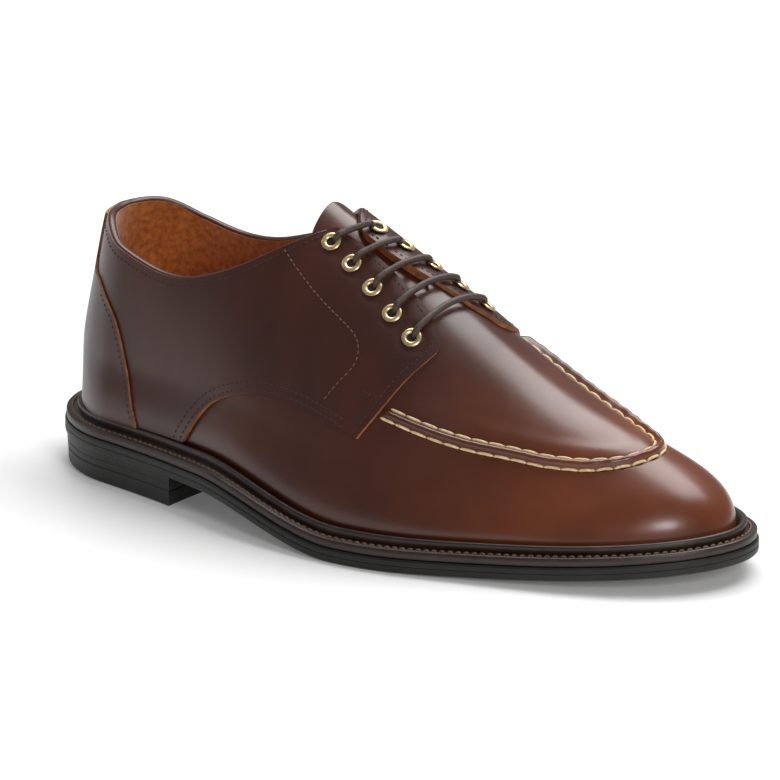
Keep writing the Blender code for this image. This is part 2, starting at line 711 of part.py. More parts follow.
def material(name, colour, roughness, metallic=0.0):
    made = bpy.data.materials.new(name)
    made.use_nodes = True
    shader = made.node_tree.nodes["Principled BSDF"]
    shader.inputs["Base Color"].default_value = (*colour, 1.0)
    shader.inputs["Roughness"].default_value = roughness
    shader.inputs["Metallic"].default_value = metallic
    return made


def add(name, shape, colour, roughness, metallic=0.0, smooth_under=40.0):
    """One object from points in millimetres, on the shoe's own origin."""
    points, faces = shape
    used = sorted({v for face in faces for v in face})
    index = {v: k for k, v in enumerate(used)}
    mesh = bpy.data.meshes.new(name)
    mesh.from_pydata(((points[used] + SHIFT) * MM).tolist(), [], [[index[v] for v in face] for face in faces])
    work = bmesh.new()
    work.from_mesh(mesh)
    bmesh.ops.recalc_face_normals(work, faces=work.faces)
    work.to_mesh(mesh)
    work.free()
    mesh.polygons.foreach_set("use_smooth", [True] * len(mesh.polygons))
    mesh.set_sharp_from_angle(angle=math.radians(smooth_under))
    mesh.materials.append(material(name, colour, roughness, metallic))
    made = bpy.data.objects.new(name, mesh)
    bpy.context.scene.collection.objects.link(made)
    return made


def cut(body, name, shape):
    """Cuts a hidden mesh out of a body."""
    cutter = add(name, shape, RUBBER, 0.6)
    cutter.hide_render = True
    cutter.display_type = "WIRE"
    boolean = body.modifiers.new(name, "BOOLEAN")
    boolean.operation = "DIFFERENCE"
    boolean.object = cutter


DARK_LEATHER = (0.042, 0.014, 0.009)
VAMP_LEATHER = (0.075, 0.02, 0.01)
LINING = (0.32, 0.12, 0.035)
RUBBER = (0.03, 0.025, 0.022)
BRASS = (0.78, 0.62, 0.36)
LACE = (0.045, 0.022, 0.016)

for old in list(bpy.data.objects):
    bpy.data.objects.remove(old)

edge = outline(0.0, 0.0, 0.0)
SHIFT = np.array([-SOLE_LENGTH / 2, -(edge[:, 1].min() + edge[:, 1].max()) / 2, 0.0])

add("upper", shape_upper(), VAMP_LEATHER, 0.35)
add("quarter_lateral", shape_quarter(False), DARK_LEATHER, 0.35)
add("quarter_medial", shape_quarter(True), DARK_LEATHER, 0.35)
add("heel_counter", shape_counter(), DARK_LEATHER, 0.35)
add("tongue", shape_tongue(), VAMP_LEATHER, 0.45)
add("insole", shape_plate(WELT_INSIDE + GAP, 1.0, OUTSOLE_THICK + GAP, INSOLE_TOP), LINING, 0.8)
add("welt", shape_welt(), RUBBER, 0.55)

outsole = add("outsole", shape_plate(0.0, 0.0, 0.0, OUTSOLE_THICK), RUBBER, 0.6)
cut(outsole, "stud_cutter", stud_rings(FOREPART_STUDS, sole_bottom))
heel_top = heel_loop(0.0, HEEL_LIFT - GAP)
add("heel_base", loft([heel_loop(0.2, TOP_PIECE_THICK + GAP), heel_top]), RUBBER, 0.6)
top_piece = add("heel_top_piece", loft([heel_loop(0.6, 0.0), heel_loop(0.2, TOP_PIECE_THICK)]), RUBBER, 0.6)
cut(top_piece, "heel_stud_cutter", stud_rings(HEEL_STUDS, lambda x: 0.0))

for number, (outer_hole, inner_hole) in enumerate(EYELETS, 1):
    add(f"eyelet_lateral_{number}", shape_eyelet(*outer_hole, False), BRASS, 0.25, 1.0)
    add(f"eyelet_medial_{number}", shape_eyelet(*inner_hole, True), BRASS, 0.25, 1.0)
    add(f"lace_bar_{number}", shape_lace_bar(outer_hole, inner_hole), LACE, 0.6)
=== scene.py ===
"""The looks of an apron toe derby for the right foot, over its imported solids.

Tables are in millimetres, as in the part's own source: X from heel to toe, the outer side towards -Y.
Panels, seams and stitches lie on one last by station along the shoe and share up from the welt.
"""

import math

import bmesh
import bpy
import numpy as np
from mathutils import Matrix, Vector


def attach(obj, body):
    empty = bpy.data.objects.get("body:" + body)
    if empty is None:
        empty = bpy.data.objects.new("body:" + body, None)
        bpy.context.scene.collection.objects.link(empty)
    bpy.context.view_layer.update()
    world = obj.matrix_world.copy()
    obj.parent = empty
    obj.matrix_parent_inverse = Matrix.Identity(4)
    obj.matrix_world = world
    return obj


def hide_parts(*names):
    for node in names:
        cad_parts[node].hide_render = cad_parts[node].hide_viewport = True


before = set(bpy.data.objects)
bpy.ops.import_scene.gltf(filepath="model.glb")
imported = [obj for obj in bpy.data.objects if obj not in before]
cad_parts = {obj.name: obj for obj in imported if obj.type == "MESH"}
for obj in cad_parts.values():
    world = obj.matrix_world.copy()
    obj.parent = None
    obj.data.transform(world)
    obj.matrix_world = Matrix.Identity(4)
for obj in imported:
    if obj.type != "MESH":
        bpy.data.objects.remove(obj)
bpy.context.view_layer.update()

MM = 0.001
GAP = 0.3

# The sole's outline and its height off the floor
SOLE_LENGTH = 301.0
HEEL_CAP, TOE_CAP, TOE_POWER = 40.0, 205.0, 1.95
SOLE_COLUMNS = ("x", "centre", "half_width")
SOLE_SECTIONS = (
    (0, 12.5, 38), (40, 7.3, 40.7), (80, -0.7, 43), (115, -9.8, 45.1),
    (140, -11.9, 48.7), (170, -9.6, 54.3), (193, -5, 56.1), (215, -0.8, 54.6),
    (240, 1, 52.9), (270, 1.6, 52), (301, 3, 52.5),
)
HEEL_LIFT = 11.5
SHANK_START, SHANK_END = 96.0, 168.0
SPRING_START, TOE_SPRING, SPRING_POWER = 181.0, 7.8, 1.65
OUTSOLE_THICK, WELT_THICK, STORM_RISE = 5.2, 3.3, 3.7
HEEL_REACH, TOE_REACH = 9.5, 8.3
REACH_START, REACH_RUN = 90.0, 60.0
WELT_EDGE, WELT_INSIDE = 0.7, 3.0

# Heel block
BREAST_OUTER, BREAST_INNER, BREAST_HOLLOW = 80.0, 86.0, 2.5
HEEL_SETBACK = 0.8

# The last above the welt
LAST_COLUMNS = ("x", "ridge", "lean", "axis", "p", "q", "q_inner", "swell_outer", "swell_inner")
LAST_SECTIONS = (
    (8, 150, 0, 10, 2, 2, 2, 1, 1),
    (40, 152, 0, 7.3, 2, 2, 2, 2.5, 2),
    (75, 139, 4, 1.2, 1.9, 2, 2, 2, 0.5),
    (105, 123, 9, -4.6, 1.88, 2, 2, 1.5, -1),
    (130, 112, 12, -7.8, 1.8, 1.9, 1.9, 1.5, -1.5),
    (155, 99.8, 10, -9.2, 1.83, 1.82, 1.84, 1.5, -0.5),
    (180, 85.2, 6.3, -8, 1.92, 1.66, 1.85, 1.8, 1),
    (205, 67.8, 3.8, -4.2, 1.78, 1.45, 2.1, 2.6, 2.4),
    (230, 54.8, 2.4, 0.8, 1.9, 1.5, 1.62, 3, 3),
    (255, 47.4, 1.5, 3, 1.83, 1.52, 1.5, 3, 3),
    (275, 44.4, 1, 3.2, 2.1, 1.86, 1.86, 2.2, 2.2),
    (301, 42, 0, 3, 2.3, 2.3, 2.3, 1.5, 1.5),
)
SWELL_HEIGHT, SWELL_SCALE = 26.0, 6.75
TOE_TOP_START, TOE_TOP_POWER = 232.0, 2.25
BACK_CURVE = ((0, 0.6), (12, 2), (24, 1.6), (38, 3.6), (52, 7), (66, 10.2), (90, 18), (200, 70))
BACK_START, BACK_RUN = 10.0, 75.0
HEEL_FAN, HEEL_FAN_RADIUS = 40.0, 31.0
TOE_FAN, TOE_FAN_RADIUS = 232.0, 47.0
STATION_BACK = HEEL_FAN - HEEL_FAN_RADIUS * math.pi / 2
STATION_TOE = TOE_FAN + TOE_FAN_RADIUS * math.pi / 2

# Panels, as station and share
COLLAR = (
    (-9, 0.548), (10, 0.552), (25, 0.54), (42.8, 0.488), (55.4, 0.473), (68.8, 0.483),
    (78, 0.51), (88, 0.56), (101.6, 0.65), (115.8, 0.785), (127.4, 0.915), (132.3, 0.975),
)
COLLAR_END = 132.3
FACING = (
    (132.3, 0.975), (147, 0.98), (157.4, 0.968), (170.4, 0.935),
    (179, 0.897), (183, 0.868), (184.9, 0.838), (185.6, 0.8),
)
QUARTER_ARC = (
    (80, 0.0), (84.9, 0.06), (92.3, 0.15), (104.1, 0.235),
    (118.4, 0.305), (133.3, 0.352), (148.5, 0.37), (168, 0.356),
)
FRONT_EDGE = (
    (168, 0.356), (173.5, 0.465), (177.7, 0.57), (181.3, 0.672),
    (183.6, 0.735), (185, 0.78), (185.6, 0.8),
)
QUARTER_END = 185.4
THROAT_END = 172.0
COUNTER_NECK = 10.4
COUNTER_EDGE = (
    (11.4, 0.43), (17, 0.402), (27, 0.388), (34, 0.362), (40, 0.325),
    (44.5, 0.275), (48.4, 0.205), (53, 0.12), (57, 0.045),
)
SEAM_COLUMNS = ("station", "outer_side", "inner_side")
SEAM = (
    (165, 0.482, 0.58), (176, 0.484, 0.6), (190, 0.49, 0.635), (205, 0.51, 0.674),
    (220, 0.532, 0.707), (232, 0.54, 0.73), (247, 0.542, 0.724), (265, 0.538, 0.69),
    (275, 0.54, 0.67), (285, 0.541, 0.625), (295, 0.55, 0.58), (305.8, 0.56, 0.56),
)
SEAM_STARTS = (176.0, 188.0)
PLAIN_END, SEAMED_START = 132.0, 172.0
INNER_SHIFT, SHIFT_START, SHIFT_RUN = 8.0, 60.0, 70.0

# Leather
WALL = 1.8
QUARTER_LIFT, QUARTER_THICK = 0.45, 1.2
QUARTER_FACE = QUARTER_LIFT + QUARTER_THICK
COUNTER_THICK, RIB_CLEAR = 1.0, 0.9
TONGUE_THICK, TONGUE_DROP = 2.0, 2.8
TONGUE = (
    (124, 18.5), (128.5, 23), (132.3, 24.6), (136, 25), (140, 25), (148, 24),
    (156, 23), (163.5, 21.5), (172, 20), (182, 17), (192, 13),
)

# Eyelets and lace
EYELETS = (
    ((133.7, 0.92), (143.7, 0.925)),
    ((144.4, 0.9), (154.1, 0.905)),
    ((155.6, 0.868), (164.6, 0.88)),
    ((166.4, 0.825), (174.3, 0.852)),
    ((176.2, 0.785), (183.8, 0.826)),
)
LACE_RADIUS = 1.25

# Studs under the sole, from the heel and the outer edge of the whole shoe
HEEL_STUDS = ((66, 24), (41, 14), (63, -1), (39, -11), (60, -25), (17, 18), (16, -2))
FOREPART_STUDS = (
    (159, 14), (157, -9), (152, -33), (186, 26), (185, 5), (184, -15), (181, -37), (210, 25),
    (214, -1), (209, -28), (233, 24), (242, 1), (234, -22), (255, 19), (257, -15), (275, 2),
)


def natural_spline(xs, ys):
    """A natural cubic spline through the points, straight beyond its ends."""
    xs, ys = np.asarray(xs, float), np.asarray(ys, float)
    count, step = len(xs), np.diff(xs)
    matrix, right = np.eye(count), np.zeros(count)
    for i in range(1, count - 1):
        matrix[i, i - 1 : i + 2] = step[i - 1], 2 * (step[i - 1] + step[i]), step[i]
        right[i] = 6 * ((ys[i + 1] - ys[i]) / step[i] - (ys[i] - ys[i - 1]) / step[i - 1])
    bend = np.linalg.solve(matrix, right)
    slope_first = (ys[1] - ys[0]) / step[0] - bend[1] * step[0] / 6
    slope_last = (ys[-1] - ys[-2]) / step[-1] + bend[-2] * step[-1] / 6

    def at(x):
        x = np.asarray(x, float)
        i = np.clip(np.searchsorted(xs, x) - 1, 0, count - 2)
        past, left = x - xs[i], xs[i + 1] - x
        curve = (bend[i] * left**3 + bend[i + 1] * past**3) / (6 * step[i])
        curve = curve + (ys[i] / step[i] - bend[i] * step[i] / 6) * left
        curve = curve + (ys[i + 1] / step[i] - bend[i + 1] * step[i] / 6) * past
        curve = np.where(x < xs[0], ys[0] + (x - xs[0]) * slope_first, curve)
        return np.where(x > xs[-1], ys[-1] + (x - xs[-1]) * slope_last, curve)

    return at


def columns(names, rows):
    """One spline for each column after the first."""
    xs = [row[0] for row in rows]
    return {name: natural_spline(xs, [row[k + 1] for row in rows]) for k, name in enumerate(names[1:])}


def curve_through(points):
    return natural_spline([point[0] for point in points], [point[1] for point in points])


SOLE = columns(SOLE_COLUMNS, SOLE_SECTIONS)
LAST = columns(LAST_COLUMNS, LAST_SECTIONS)
BACK = curve_through(BACK_CURVE)
COLLAR_SHARE = curve_through(COLLAR)
FACING_SHARE = curve_through(FACING)
ARC_SHARE = curve_through(QUARTER_ARC)
FRONT_SHARE = curve_through(FRONT_EDGE)
COUNTER_SHARE = curve_through(COUNTER_EDGE)
SEAM_SHARE = columns(SEAM_COLUMNS, SEAM)


def smooth(t):
    t = np.clip(t, 0, 1)
    return t * t * (3 - 2 * t)


def signed_root(value, power):
    return np.sign(value) * np.abs(value) ** (1.0 / power)


def reach(x):
    """How far inside the sole's edge the upper meets the welt."""
    return HEEL_REACH + (TOE_REACH - HEEL_REACH) * smooth((x - REACH_START) / REACH_RUN)


def rounding(x, heel_end, toe_end):
    """1 along the sole, falling to 0 round the heel and round the toe."""
    heel = np.clip((HEEL_CAP - x) / (HEEL_CAP - heel_end), 0, None)
    toe = np.clip((x - TOE_CAP) / (toe_end - TOE_CAP), 0, None)
    return np.where(x < HEEL_CAP, signed_root(1 - heel**2, 2), signed_root(1 - toe**TOE_POWER, TOE_POWER))


def ends(inset, reaches):
    return inset + reaches * HEEL_REACH, SOLE_LENGTH - inset - reaches * TOE_REACH


def half_width(x, inset=0.0, reaches=0.0):
    """Half width of the sole's outline moved in by inset and by a number of reaches."""
    x = np.asarray(x, float)
    return (SOLE["half_width"](x) - inset - reaches * reach(x)) * rounding(x, *ends(inset, reaches))


def centre(x):
    return SOLE["centre"](np.clip(x, 0, SOLE_LENGTH))


def sole_bottom(x):
    """Height of the sole's underside: on the heel, down the shank, flat at the ball, up the toe."""
    toe = np.clip((x - SPRING_START) / (SOLE_LENGTH - SPRING_START), 0, None)
    drop = smooth((x - SHANK_START) / (SHANK_END - SHANK_START))
    return HEEL_LIFT * (1 - drop) + TOE_SPRING * toe**SPRING_POWER


def feather(x):
    """Height of the welt's flat, where the upper starts."""
    return sole_bottom(x) + OUTSOLE_THICK + WELT_THICK


def ridge_height(x):
    low = feather(x)
    toe = np.clip((x - TOE_TOP_START) / (SOLE_LENGTH - TOE_REACH - TOE_TOP_START), 0, None)
    return low + (LAST["ridge"](x) - low) * signed_root(1 - toe**TOE_TOP_POWER, TOE_TOP_POWER)


def outside(x, y, z):
    """Below 0 inside the last, above 0 outside it."""
    low, top = feather(x), ridge_height(x)
    rise = np.clip((z - low) / np.maximum(top - low, 1e-6), 0, None)
    off = y - centre(x) - LAST["lean"](x) * np.clip(rise, 0, 1)
    along = x - BACK(z - low) * (1 - smooth((x - BACK_START) / BACK_RUN))
    width = half_width(along, 0.0, 1.0)
    power = np.where(off > 0, LAST["q_inner"](x), LAST["q"](x))
    body = np.clip(1 - rise**power, 0, None) ** (1 / LAST["p"](x))
    side = np.where(off > 0, LAST["swell_inner"](x), LAST["swell_outer"](x))
    height = np.clip((z - low) / SWELL_HEIGHT, 0, 1)
    swell = side * SWELL_SCALE * height * (1 - height) ** 2 * rounding(along, *ends(0.0, 1.0))
    inside = (width > 0) & (rise < 1) & (top > low)
    return np.abs(off) - np.where(inside, width * body + swell, -1.0)


def cast(origin, direction, reach_mm=200.0, halvings=34):
    """Where rays from inside the last meet its surface."""
    near, far = np.zeros(origin[0].shape), np.full(origin[0].shape, reach_mm)
    for _ in range(halvings):
        middle = (near + far) / 2
        out = outside(*(o + d * middle for o, d in zip(origin, direction))) > 0
        far, near = np.where(out, middle, far), np.where(out, near, middle)
    return [o + d * (near + far) / 2 for o, d in zip(origin, direction)]


def rib_table(stations, inner, rays):
    """Points up the rib at each station, and the girth up to each of them."""
    stations = np.asarray(stations, float)
    x0 = np.clip(stations, HEEL_FAN, TOE_FAN)
    y0 = LAST["axis"](x0)
    turn = np.where(stations > TOE_FAN, (stations - TOE_FAN) / TOE_FAN_RADIUS, 0.0)
    turn = np.where(stations < HEEL_FAN, (stations - HEEL_FAN) / HEEL_FAN_RADIUS, turn)
    turn = np.clip(turn, -math.pi / 2, math.pi / 2)
    dx, dy = np.sin(turn), np.cos(turn) * (1.0 if inner else -1.0)
    foot = cast((x0, y0, feather(x0)), (dx, dy, np.zeros_like(x0)))
    z0 = feather(foot[0])
    angle = np.linspace(0, math.pi / 2, rays)
    shape = (len(stations), rays)
    origin = [np.broadcast_to(v[:, None], shape) for v in (x0, y0, z0)]
    across = np.cos(angle)[None, :]
    direction = [dx[:, None] * across, dy[:, None] * across, np.broadcast_to(np.sin(angle), shape)]
    points = np.stack(cast(origin, direction), -1)
    girth = np.zeros(shape)
    girth[:, 1:] = np.cumsum(np.linalg.norm(np.diff(points, axis=1), axis=2), 1)
    return points, girth


def on_rib(points, girth, share):
    out = np.empty((len(share), 3))
    for k in range(3):
        out[:, k] = np.interp(share * girth[-1], girth, points[:, k])
    return out


SHOE_STATIONS = np.linspace(STATION_BACK, STATION_TOE, 400)
PATTERN_STATIONS = SHOE_STATIONS - INNER_SHIFT * smooth((SHOE_STATIONS - SHIFT_START) / SHIFT_RUN)


def pattern_station(station, inner):
    """The inner side's panels are the outer side's, set forward towards the throat."""
    return np.interp(station, SHOE_STATIONS, PATTERN_STATIONS) if inner else station


def shoe_station(station, inner):
    return float(np.interp(station, PATTERN_STATIONS, SHOE_STATIONS)) if inner else station


def facing_top(station, inner):
    """Share of the topline, then of the facing's edge."""
    pattern = pattern_station(station, inner)
    return float(COLLAR_SHARE(pattern) if pattern < COLLAR_END else FACING_SHARE(pattern))


CROWDING = 1.2


def crowded(low, high, count):
    """Rows that lie closer together towards the high end."""
    return low + (high - low) * (1 - (1 - np.linspace(0, 1, count)) ** CROWDING)


def grid_faces(ids):
    """Faces of a grid of vertex numbers, where repeated numbers make triangles."""
    faces = []
    for i in range(len(ids) - 1):
        for j in range(len(ids[0]) - 1):
            loop = [ids[i][j], ids[i + 1][j], ids[i + 1][j + 1], ids[i][j + 1]]
            kept = [int(v) for k, v in enumerate(loop) if v != loop[k - 1]]
            if len(kept) > 2:
                faces.append(kept)
    return faces


def between(outer, inner, faces):
    """The closed solid between two sheets that have the same faces."""
    count = len(outer)
    uses = {}
    for face in faces:
        for a, b in zip(face, face[1:] + face[:1]):
            uses.setdefault(frozenset((a, b)), []).append((a, b))
    rims = [pairs[0] for pairs in uses.values() if len(pairs) == 1]
    closed = [tuple(face) for face in faces]
    closed += [tuple(count + v for v in reversed(face)) for face in faces]
    closed += [(b, a, count + a, count + b) for a, b in rims]
    return np.concatenate([outer, inner]), closed


def band(a, b, count):
    """Faces between two rings whose points are numbered from a and from b."""
    return [(a + i, a + (i + 1) % count, b + (i + 1) % count, b + i) for i in range(count)]


def loft(rings):
    """The closed solid through rings of equal count, with flat ends."""
    count = len(rings[0])
    faces = [tuple(reversed(range(count)))]
    for k in range(len(rings) - 1):
        faces += band(k * count, (k + 1) * count, count)
    faces.append(tuple((len(rings) - 1) * count + i for i in range(count)))
    return np.concatenate(rings), faces


def torus(rings):
    """The closed ring through sections, each a closed loop of equal count."""
    count, total = len(rings[0]), len(rings)
    faces = []
    for k in range(total):
        faces += band(k * count, (k + 1) % total * count, count)
    return np.concatenate(rings), faces


def quarter_low(station, girth, inner):
    """Share of a quarter's lower edge: over the welt's rib, then the arc, then up the front."""
    pattern = pattern_station(station, inner)
    rib = (STORM_RISE + RIB_CLEAR) / girth
    if pattern < QUARTER_ARC[0][0]:
        return rib
    edge = ARC_SHARE(pattern) if pattern < FRONT_EDGE[0][0] else FRONT_SHARE(pattern)
    return max(rib, float(edge))


def strips(count, base, flip):
    """Faces across a loop made by outline, one strip for each pair of stations."""
    faces = []
    for k in range(count // 2):
        loop = [k, k + 1, (count - k - 1) % count, (count - k) % count]
        kept = [v for n, v in enumerate(loop) if v != loop[n - 1]]
        faces.append(tuple(base + v for v in (kept[::-1] if flip else kept)))
    return faces


def swell_at(points, height):
    """How far the upper swells over the welt at this height."""
    x = points[:, 0]
    side = np.where(points[:, 1] > centre(x), LAST["swell_inner"](x), LAST["swell_outer"](x))
    rise = height / SWELL_HEIGHT
    return np.maximum(side, 0) * SWELL_SCALE * rise * (1 - rise) ** 2


def unit(vectors):
    return vectors / np.maximum(np.linalg.norm(vectors, axis=-1, keepdims=True), 1e-9)


def pushed(loop, amount):
    """A loop moved outwards, level, by an amount at each point."""
    run = np.roll(loop, -1, 0) - np.roll(loop, 1, 0)
    out = unit(np.stack([run[:, 1], -run[:, 0]], 1))
    moved = loop.copy()
    moved[:, :2] += out * np.asarray(amount)[:, None]
    return moved


shared_edge_x = np.linspace(0.0, SOLE_LENGTH, 400)
shared_low = (centre(shared_edge_x) - half_width(shared_edge_x)).min()
shared_high = (centre(shared_edge_x) + half_width(shared_edge_x)).max()
SHIFT = np.array([-SOLE_LENGTH / 2, -(shared_low + shared_high) / 2, 0.0])

# Fine maps of the form: places and outward normals on a grid of stations and shares
MAP_STEP, MAP_SHARES, MAP_RAYS = 1.0, 161, 361


def make_map(inner):
    count = int((STATION_TOE - STATION_BACK) / MAP_STEP) + 1
    stations = np.linspace(STATION_BACK, STATION_TOE, count)
    points, girth = rib_table(stations, inner, MAP_RAYS)
    shares = np.linspace(0, 1, MAP_SHARES)
    place = np.array([on_rib(p, g, shares) for p, g in zip(points, girth)])
    run, rise = np.gradient(place, axis=0), np.gradient(place, axis=1)
    normal = unit(np.cross(run, rise) * (-1.0 if inner else 1.0))
    pole = int(np.argmax(stations >= TOE_FAN))
    normal[pole:, -2:] = normal[pole, -2]
    return stations, place, normal, girth[:, -1]


MAPS = [make_map(False), make_map(True)]


def look_up(table, station, share):
    """Bilinear value of a map at these stations and shares."""
    stations = MAPS[0][0]
    i = np.clip((station - stations[0]) / (stations[1] - stations[0]), 0, len(stations) - 1.001)
    j = np.clip(share * (MAP_SHARES - 1), 0, MAP_SHARES - 1.001)
    i0, j0 = i.astype(int), j.astype(int)
    a, b = (i - i0)[..., None], (j - j0)[..., None]
    low = table[i0, j0] * (1 - a) + table[i0 + 1, j0] * a
    high = table[i0, j0 + 1] * (1 - a) + table[i0 + 1, j0 + 1] * a
    return low * (1 - b) + high * b


def on_form(station, share, inner, lift=0.0):
    """Points over the form, for arrays of stations, shares and lifts."""
    station, share, lift = np.broadcast_arrays(*(np.asarray(v, float) for v in (station, share, lift)))
    place = look_up(MAPS[inner][1], station, share)
    normal = unit(look_up(MAPS[inner][2], station, share))
    return place + normal * lift[..., None], normal


def girth_at(station, inner):
    return np.interp(station, MAPS[0][0], MAPS[inner][3])


def across_top(station, offset, lift):
    """Points over the instep, offsets in mm across from the centre line."""
    station, offset, lift = np.broadcast_arrays(*(np.asarray(v, float) for v in (station, offset, lift)))
    sides = []
    for inner in (False, True):
        share = 1 - np.abs(offset) / girth_at(station, inner)
        sides.append(on_form(station, share, inner, lift))
    right = (offset > 0)[..., None]
    return np.where(right, sides[1][0], sides[0][0]), np.where(right, sides[1][1], sides[0][1])


# Meshes
PANEL_SMOOTH, SOLE_SMOOTH = 60.0, 40.0
STITCH_POINTS, CORD_SIDES = 12, 14


def joined(parts):
    """Points and faces of several parts as one."""
    faces = []
    base = 0
    for points, own in parts:
        faces += [tuple(int(base + v) for v in face) for face in own]
        base += len(points)
    return np.concatenate([points for points, _ in parts]), faces


def build(name, parts, materials, smooth_under=50.0, replaces=()):
    """One piece from points in millimetres and faces, each part with its material's number."""
    slots = []
    for _, faces, slot in parts:
        slots += [slot] * len(faces) if isinstance(slot, int) else list(slot)
    points, polygons = joined([part[:2] for part in parts])
    mesh = bpy.data.meshes.new(name)
    mesh.from_pydata(((points + SHIFT) * MM).tolist(), [], polygons)
    mesh.polygons.foreach_set("material_index", slots)
    work = bmesh.new()
    work.from_mesh(mesh)
    bmesh.ops.delete(work, geom=[v for v in work.verts if not v.link_faces], context="VERTS")
    bmesh.ops.recalc_face_normals(work, faces=work.faces)
    work.to_mesh(mesh)
    work.free()
    mesh.polygons.foreach_set("use_smooth", [True] * len(mesh.polygons))
    mesh.set_sharp_from_angle(angle=math.radians(smooth_under))
    for material in materials:
        mesh.materials.append(material)
    piece = bpy.data.objects.new(name, mesh)
    bpy.context.scene.collection.objects.link(piece)
    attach(piece, "root")
    if replaces:
        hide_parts(*replaces)
    return piece


def soften(piece, width, segments=2):
    """Rounds a piece's sharp edges by a width in mm."""
    bevel = piece.modifiers.new("soft_edges", "BEVEL")
    bevel.width = width * MM
    bevel.segments = segments
    bevel.limit_method = "ANGLE"
    bevel.angle_limit = math.radians(50)


def walled(outer, inner, faces):
    """The solid between two sheets, its outer, inner and edge faces in slots 0, 1 and 2."""
    points, closed = between(outer, inner, faces)
    rims = len(closed) - 2 * len(faces)
    return points, closed, [0] * len(faces) + [1] * len(faces) + [2] * rims


def sheet_solid(outer, inner):
    ids = np.arange(outer.shape[0] * outer.shape[1]).reshape(outer.shape[:2])
    return walled(outer.reshape(-1, 3), inner.reshape(-1, 3), grid_faces(ids))


def even(points, normals, step):
    """A path's points and normals at even spacing."""
    length = np.concatenate([[0], np.cumsum(np.linalg.norm(np.diff(points, axis=0), axis=1))])
    want = np.arange(0, length[-1], step)
    places = np.stack([np.interp(want, length, points[:, k]) for k in range(3)], 1)
    ups = np.stack([np.interp(want, length, normals[:, k]) for k in range(3)], 1)
    return places, unit(ups)


def tube(points, normals, radii, heights=None, sides=10):
    """A closed tube along a path: radii wide across the surface, heights tall along its normal."""
    radii = np.broadcast_to(radii, len(points))
    heights = radii if heights is None else np.broadcast_to(heights, len(points))
    ahead = unit(np.gradient(points, axis=0))
    side = unit(np.cross(ahead, normals))
    up = np.cross(side, ahead)
    turn = np.linspace(0, 2 * math.pi, sides, endpoint=False)
    rings = [
        p + s * r * np.cos(turn)[:, None] + u * h * np.sin(turn)[:, None]
        for p, s, u, r, h in zip(points, side, up, radii, heights)
    ]
    return loft(rings)


def stitches(points, normals, pitch, share, radius, proud, sides=6):
    """Stitches along a path: each dips into the leather at both ends."""
    points, normals = even(points, normals, pitch / STITCH_POINTS)
    half = int(round(STITCH_POINTS * share / 2))
    first = STITCH_POINTS // 2
    parts = []
    for middle in range(first, len(points) - first - 1, STITCH_POINTS):
        span = np.arange(middle - half, middle + half + 1)
        t = (span - middle) / half
        rise = proud * (1 - t**2) - radius * 0.9 * t**4
        thick = radius * (1 - 0.45 * t**4)
        parts.append(tube(points[span] + normals[span] * rise[:, None], normals[span], thick, sides=sides))
    return joined(parts)


def on_panel(rows, inner, lift, step=1.0):
    """A path over a panel through pattern stations and shares."""
    rows = np.array(rows, float)
    along = np.concatenate([[0], np.cumsum(np.hypot(np.diff(rows[:, 0]), np.diff(rows[:, 1]) * 100))])
    want = np.arange(0, along[-1], step)
    pattern = natural_spline(along, rows[:, 0])(want)
    share = natural_spline(along, rows[:, 1])(want)
    station = np.array([shoe_station(u, inner) for u in pattern])
    return on_form(station, share, inner, lift)


# Materials
def put(node, values):
    """Sets a shader node's constants on its sockets."""
    for name, value in values.items():
        node.inputs[name].default_value = value


def add(tree, kind, values):
    node = tree.nodes.new("ShaderNode" + kind)
    put(node, values)
    return node


def nodes_of(name):
    material = bpy.data.materials.new(name)
    material.use_nodes = True
    tree = material.node_tree
    return material, tree, tree.nodes["Principled BSDF"]


def noise(tree, scale, detail=4.0, roughness=0.55, stretch=(1, 1, 1)):
    place = add(tree, "TexCoord", {})
    mapping = add(tree, "Mapping", {"Scale": stretch})
    texture = add(tree, "TexNoise", {"Scale": scale, "Detail": detail, "Roughness": roughness})
    tree.links.new(place.outputs["Object"], mapping.inputs["Vector"])
    tree.links.new(mapping.outputs["Vector"], texture.inputs["Vector"])
    return texture.outputs["Fac"]


def ramp(tree, factor, stops):
    made = add(tree, "ValToRGB", {})
    elements = made.color_ramp.elements
    while len(elements) < len(stops):
        elements.new(0.5)
    for element, (place, colour) in zip(elements, stops):
        element.position = place
        element.color = (*colour, 1.0)
    tree.links.new(factor, made.inputs["Fac"])
    return made.outputs["Color"]


def bumps(tree, shader, heights):
    """Chains bumps, each a height output, a strength and a distance in mm."""
    last = None
    for height, strength, distance in heights:
        bump = add(tree, "Bump", {"Strength": strength, "Distance": distance * MM})
        tree.links.new(height, bump.inputs["Height"])
        if last is not None:
            tree.links.new(last, bump.inputs["Normal"])
        last = bump.outputs["Normal"]
    tree.links.new(last, shader.inputs["Normal"])


def along_shoe(tree, start, end):
    """0 at one place along the shoe and 1 at another, both in mm from the heel."""
    place = add(tree, "TexCoord", {})
    split = add(tree, "SeparateXYZ", {})
    low, high = (start + SHIFT[0]) * MM, (end + SHIFT[0]) * MM
    spread = add(tree, "MapRange", {"From Min": low, "From Max": high})
    spread.interpolation_type = "SMOOTHSTEP"
    tree.links.new(place.outputs["Object"], split.inputs["Vector"])
    tree.links.new(split.outputs["X"], spread.inputs["Value"])
    return spread.outputs["Result"]


def blend(tree, factor, first, second):
    mix = add(tree, "Mix", {})
    mix.data_type = "RGBA"
    tree.links.new(factor, mix.inputs[0])
    for value, socket in ((first, mix.inputs[6]), (second, mix.inputs[7])):
        if isinstance(value, tuple):
            socket.default_value = (*value, 1.0)
        else:
            tree.links.new(value, socket)
    return mix.outputs[2]


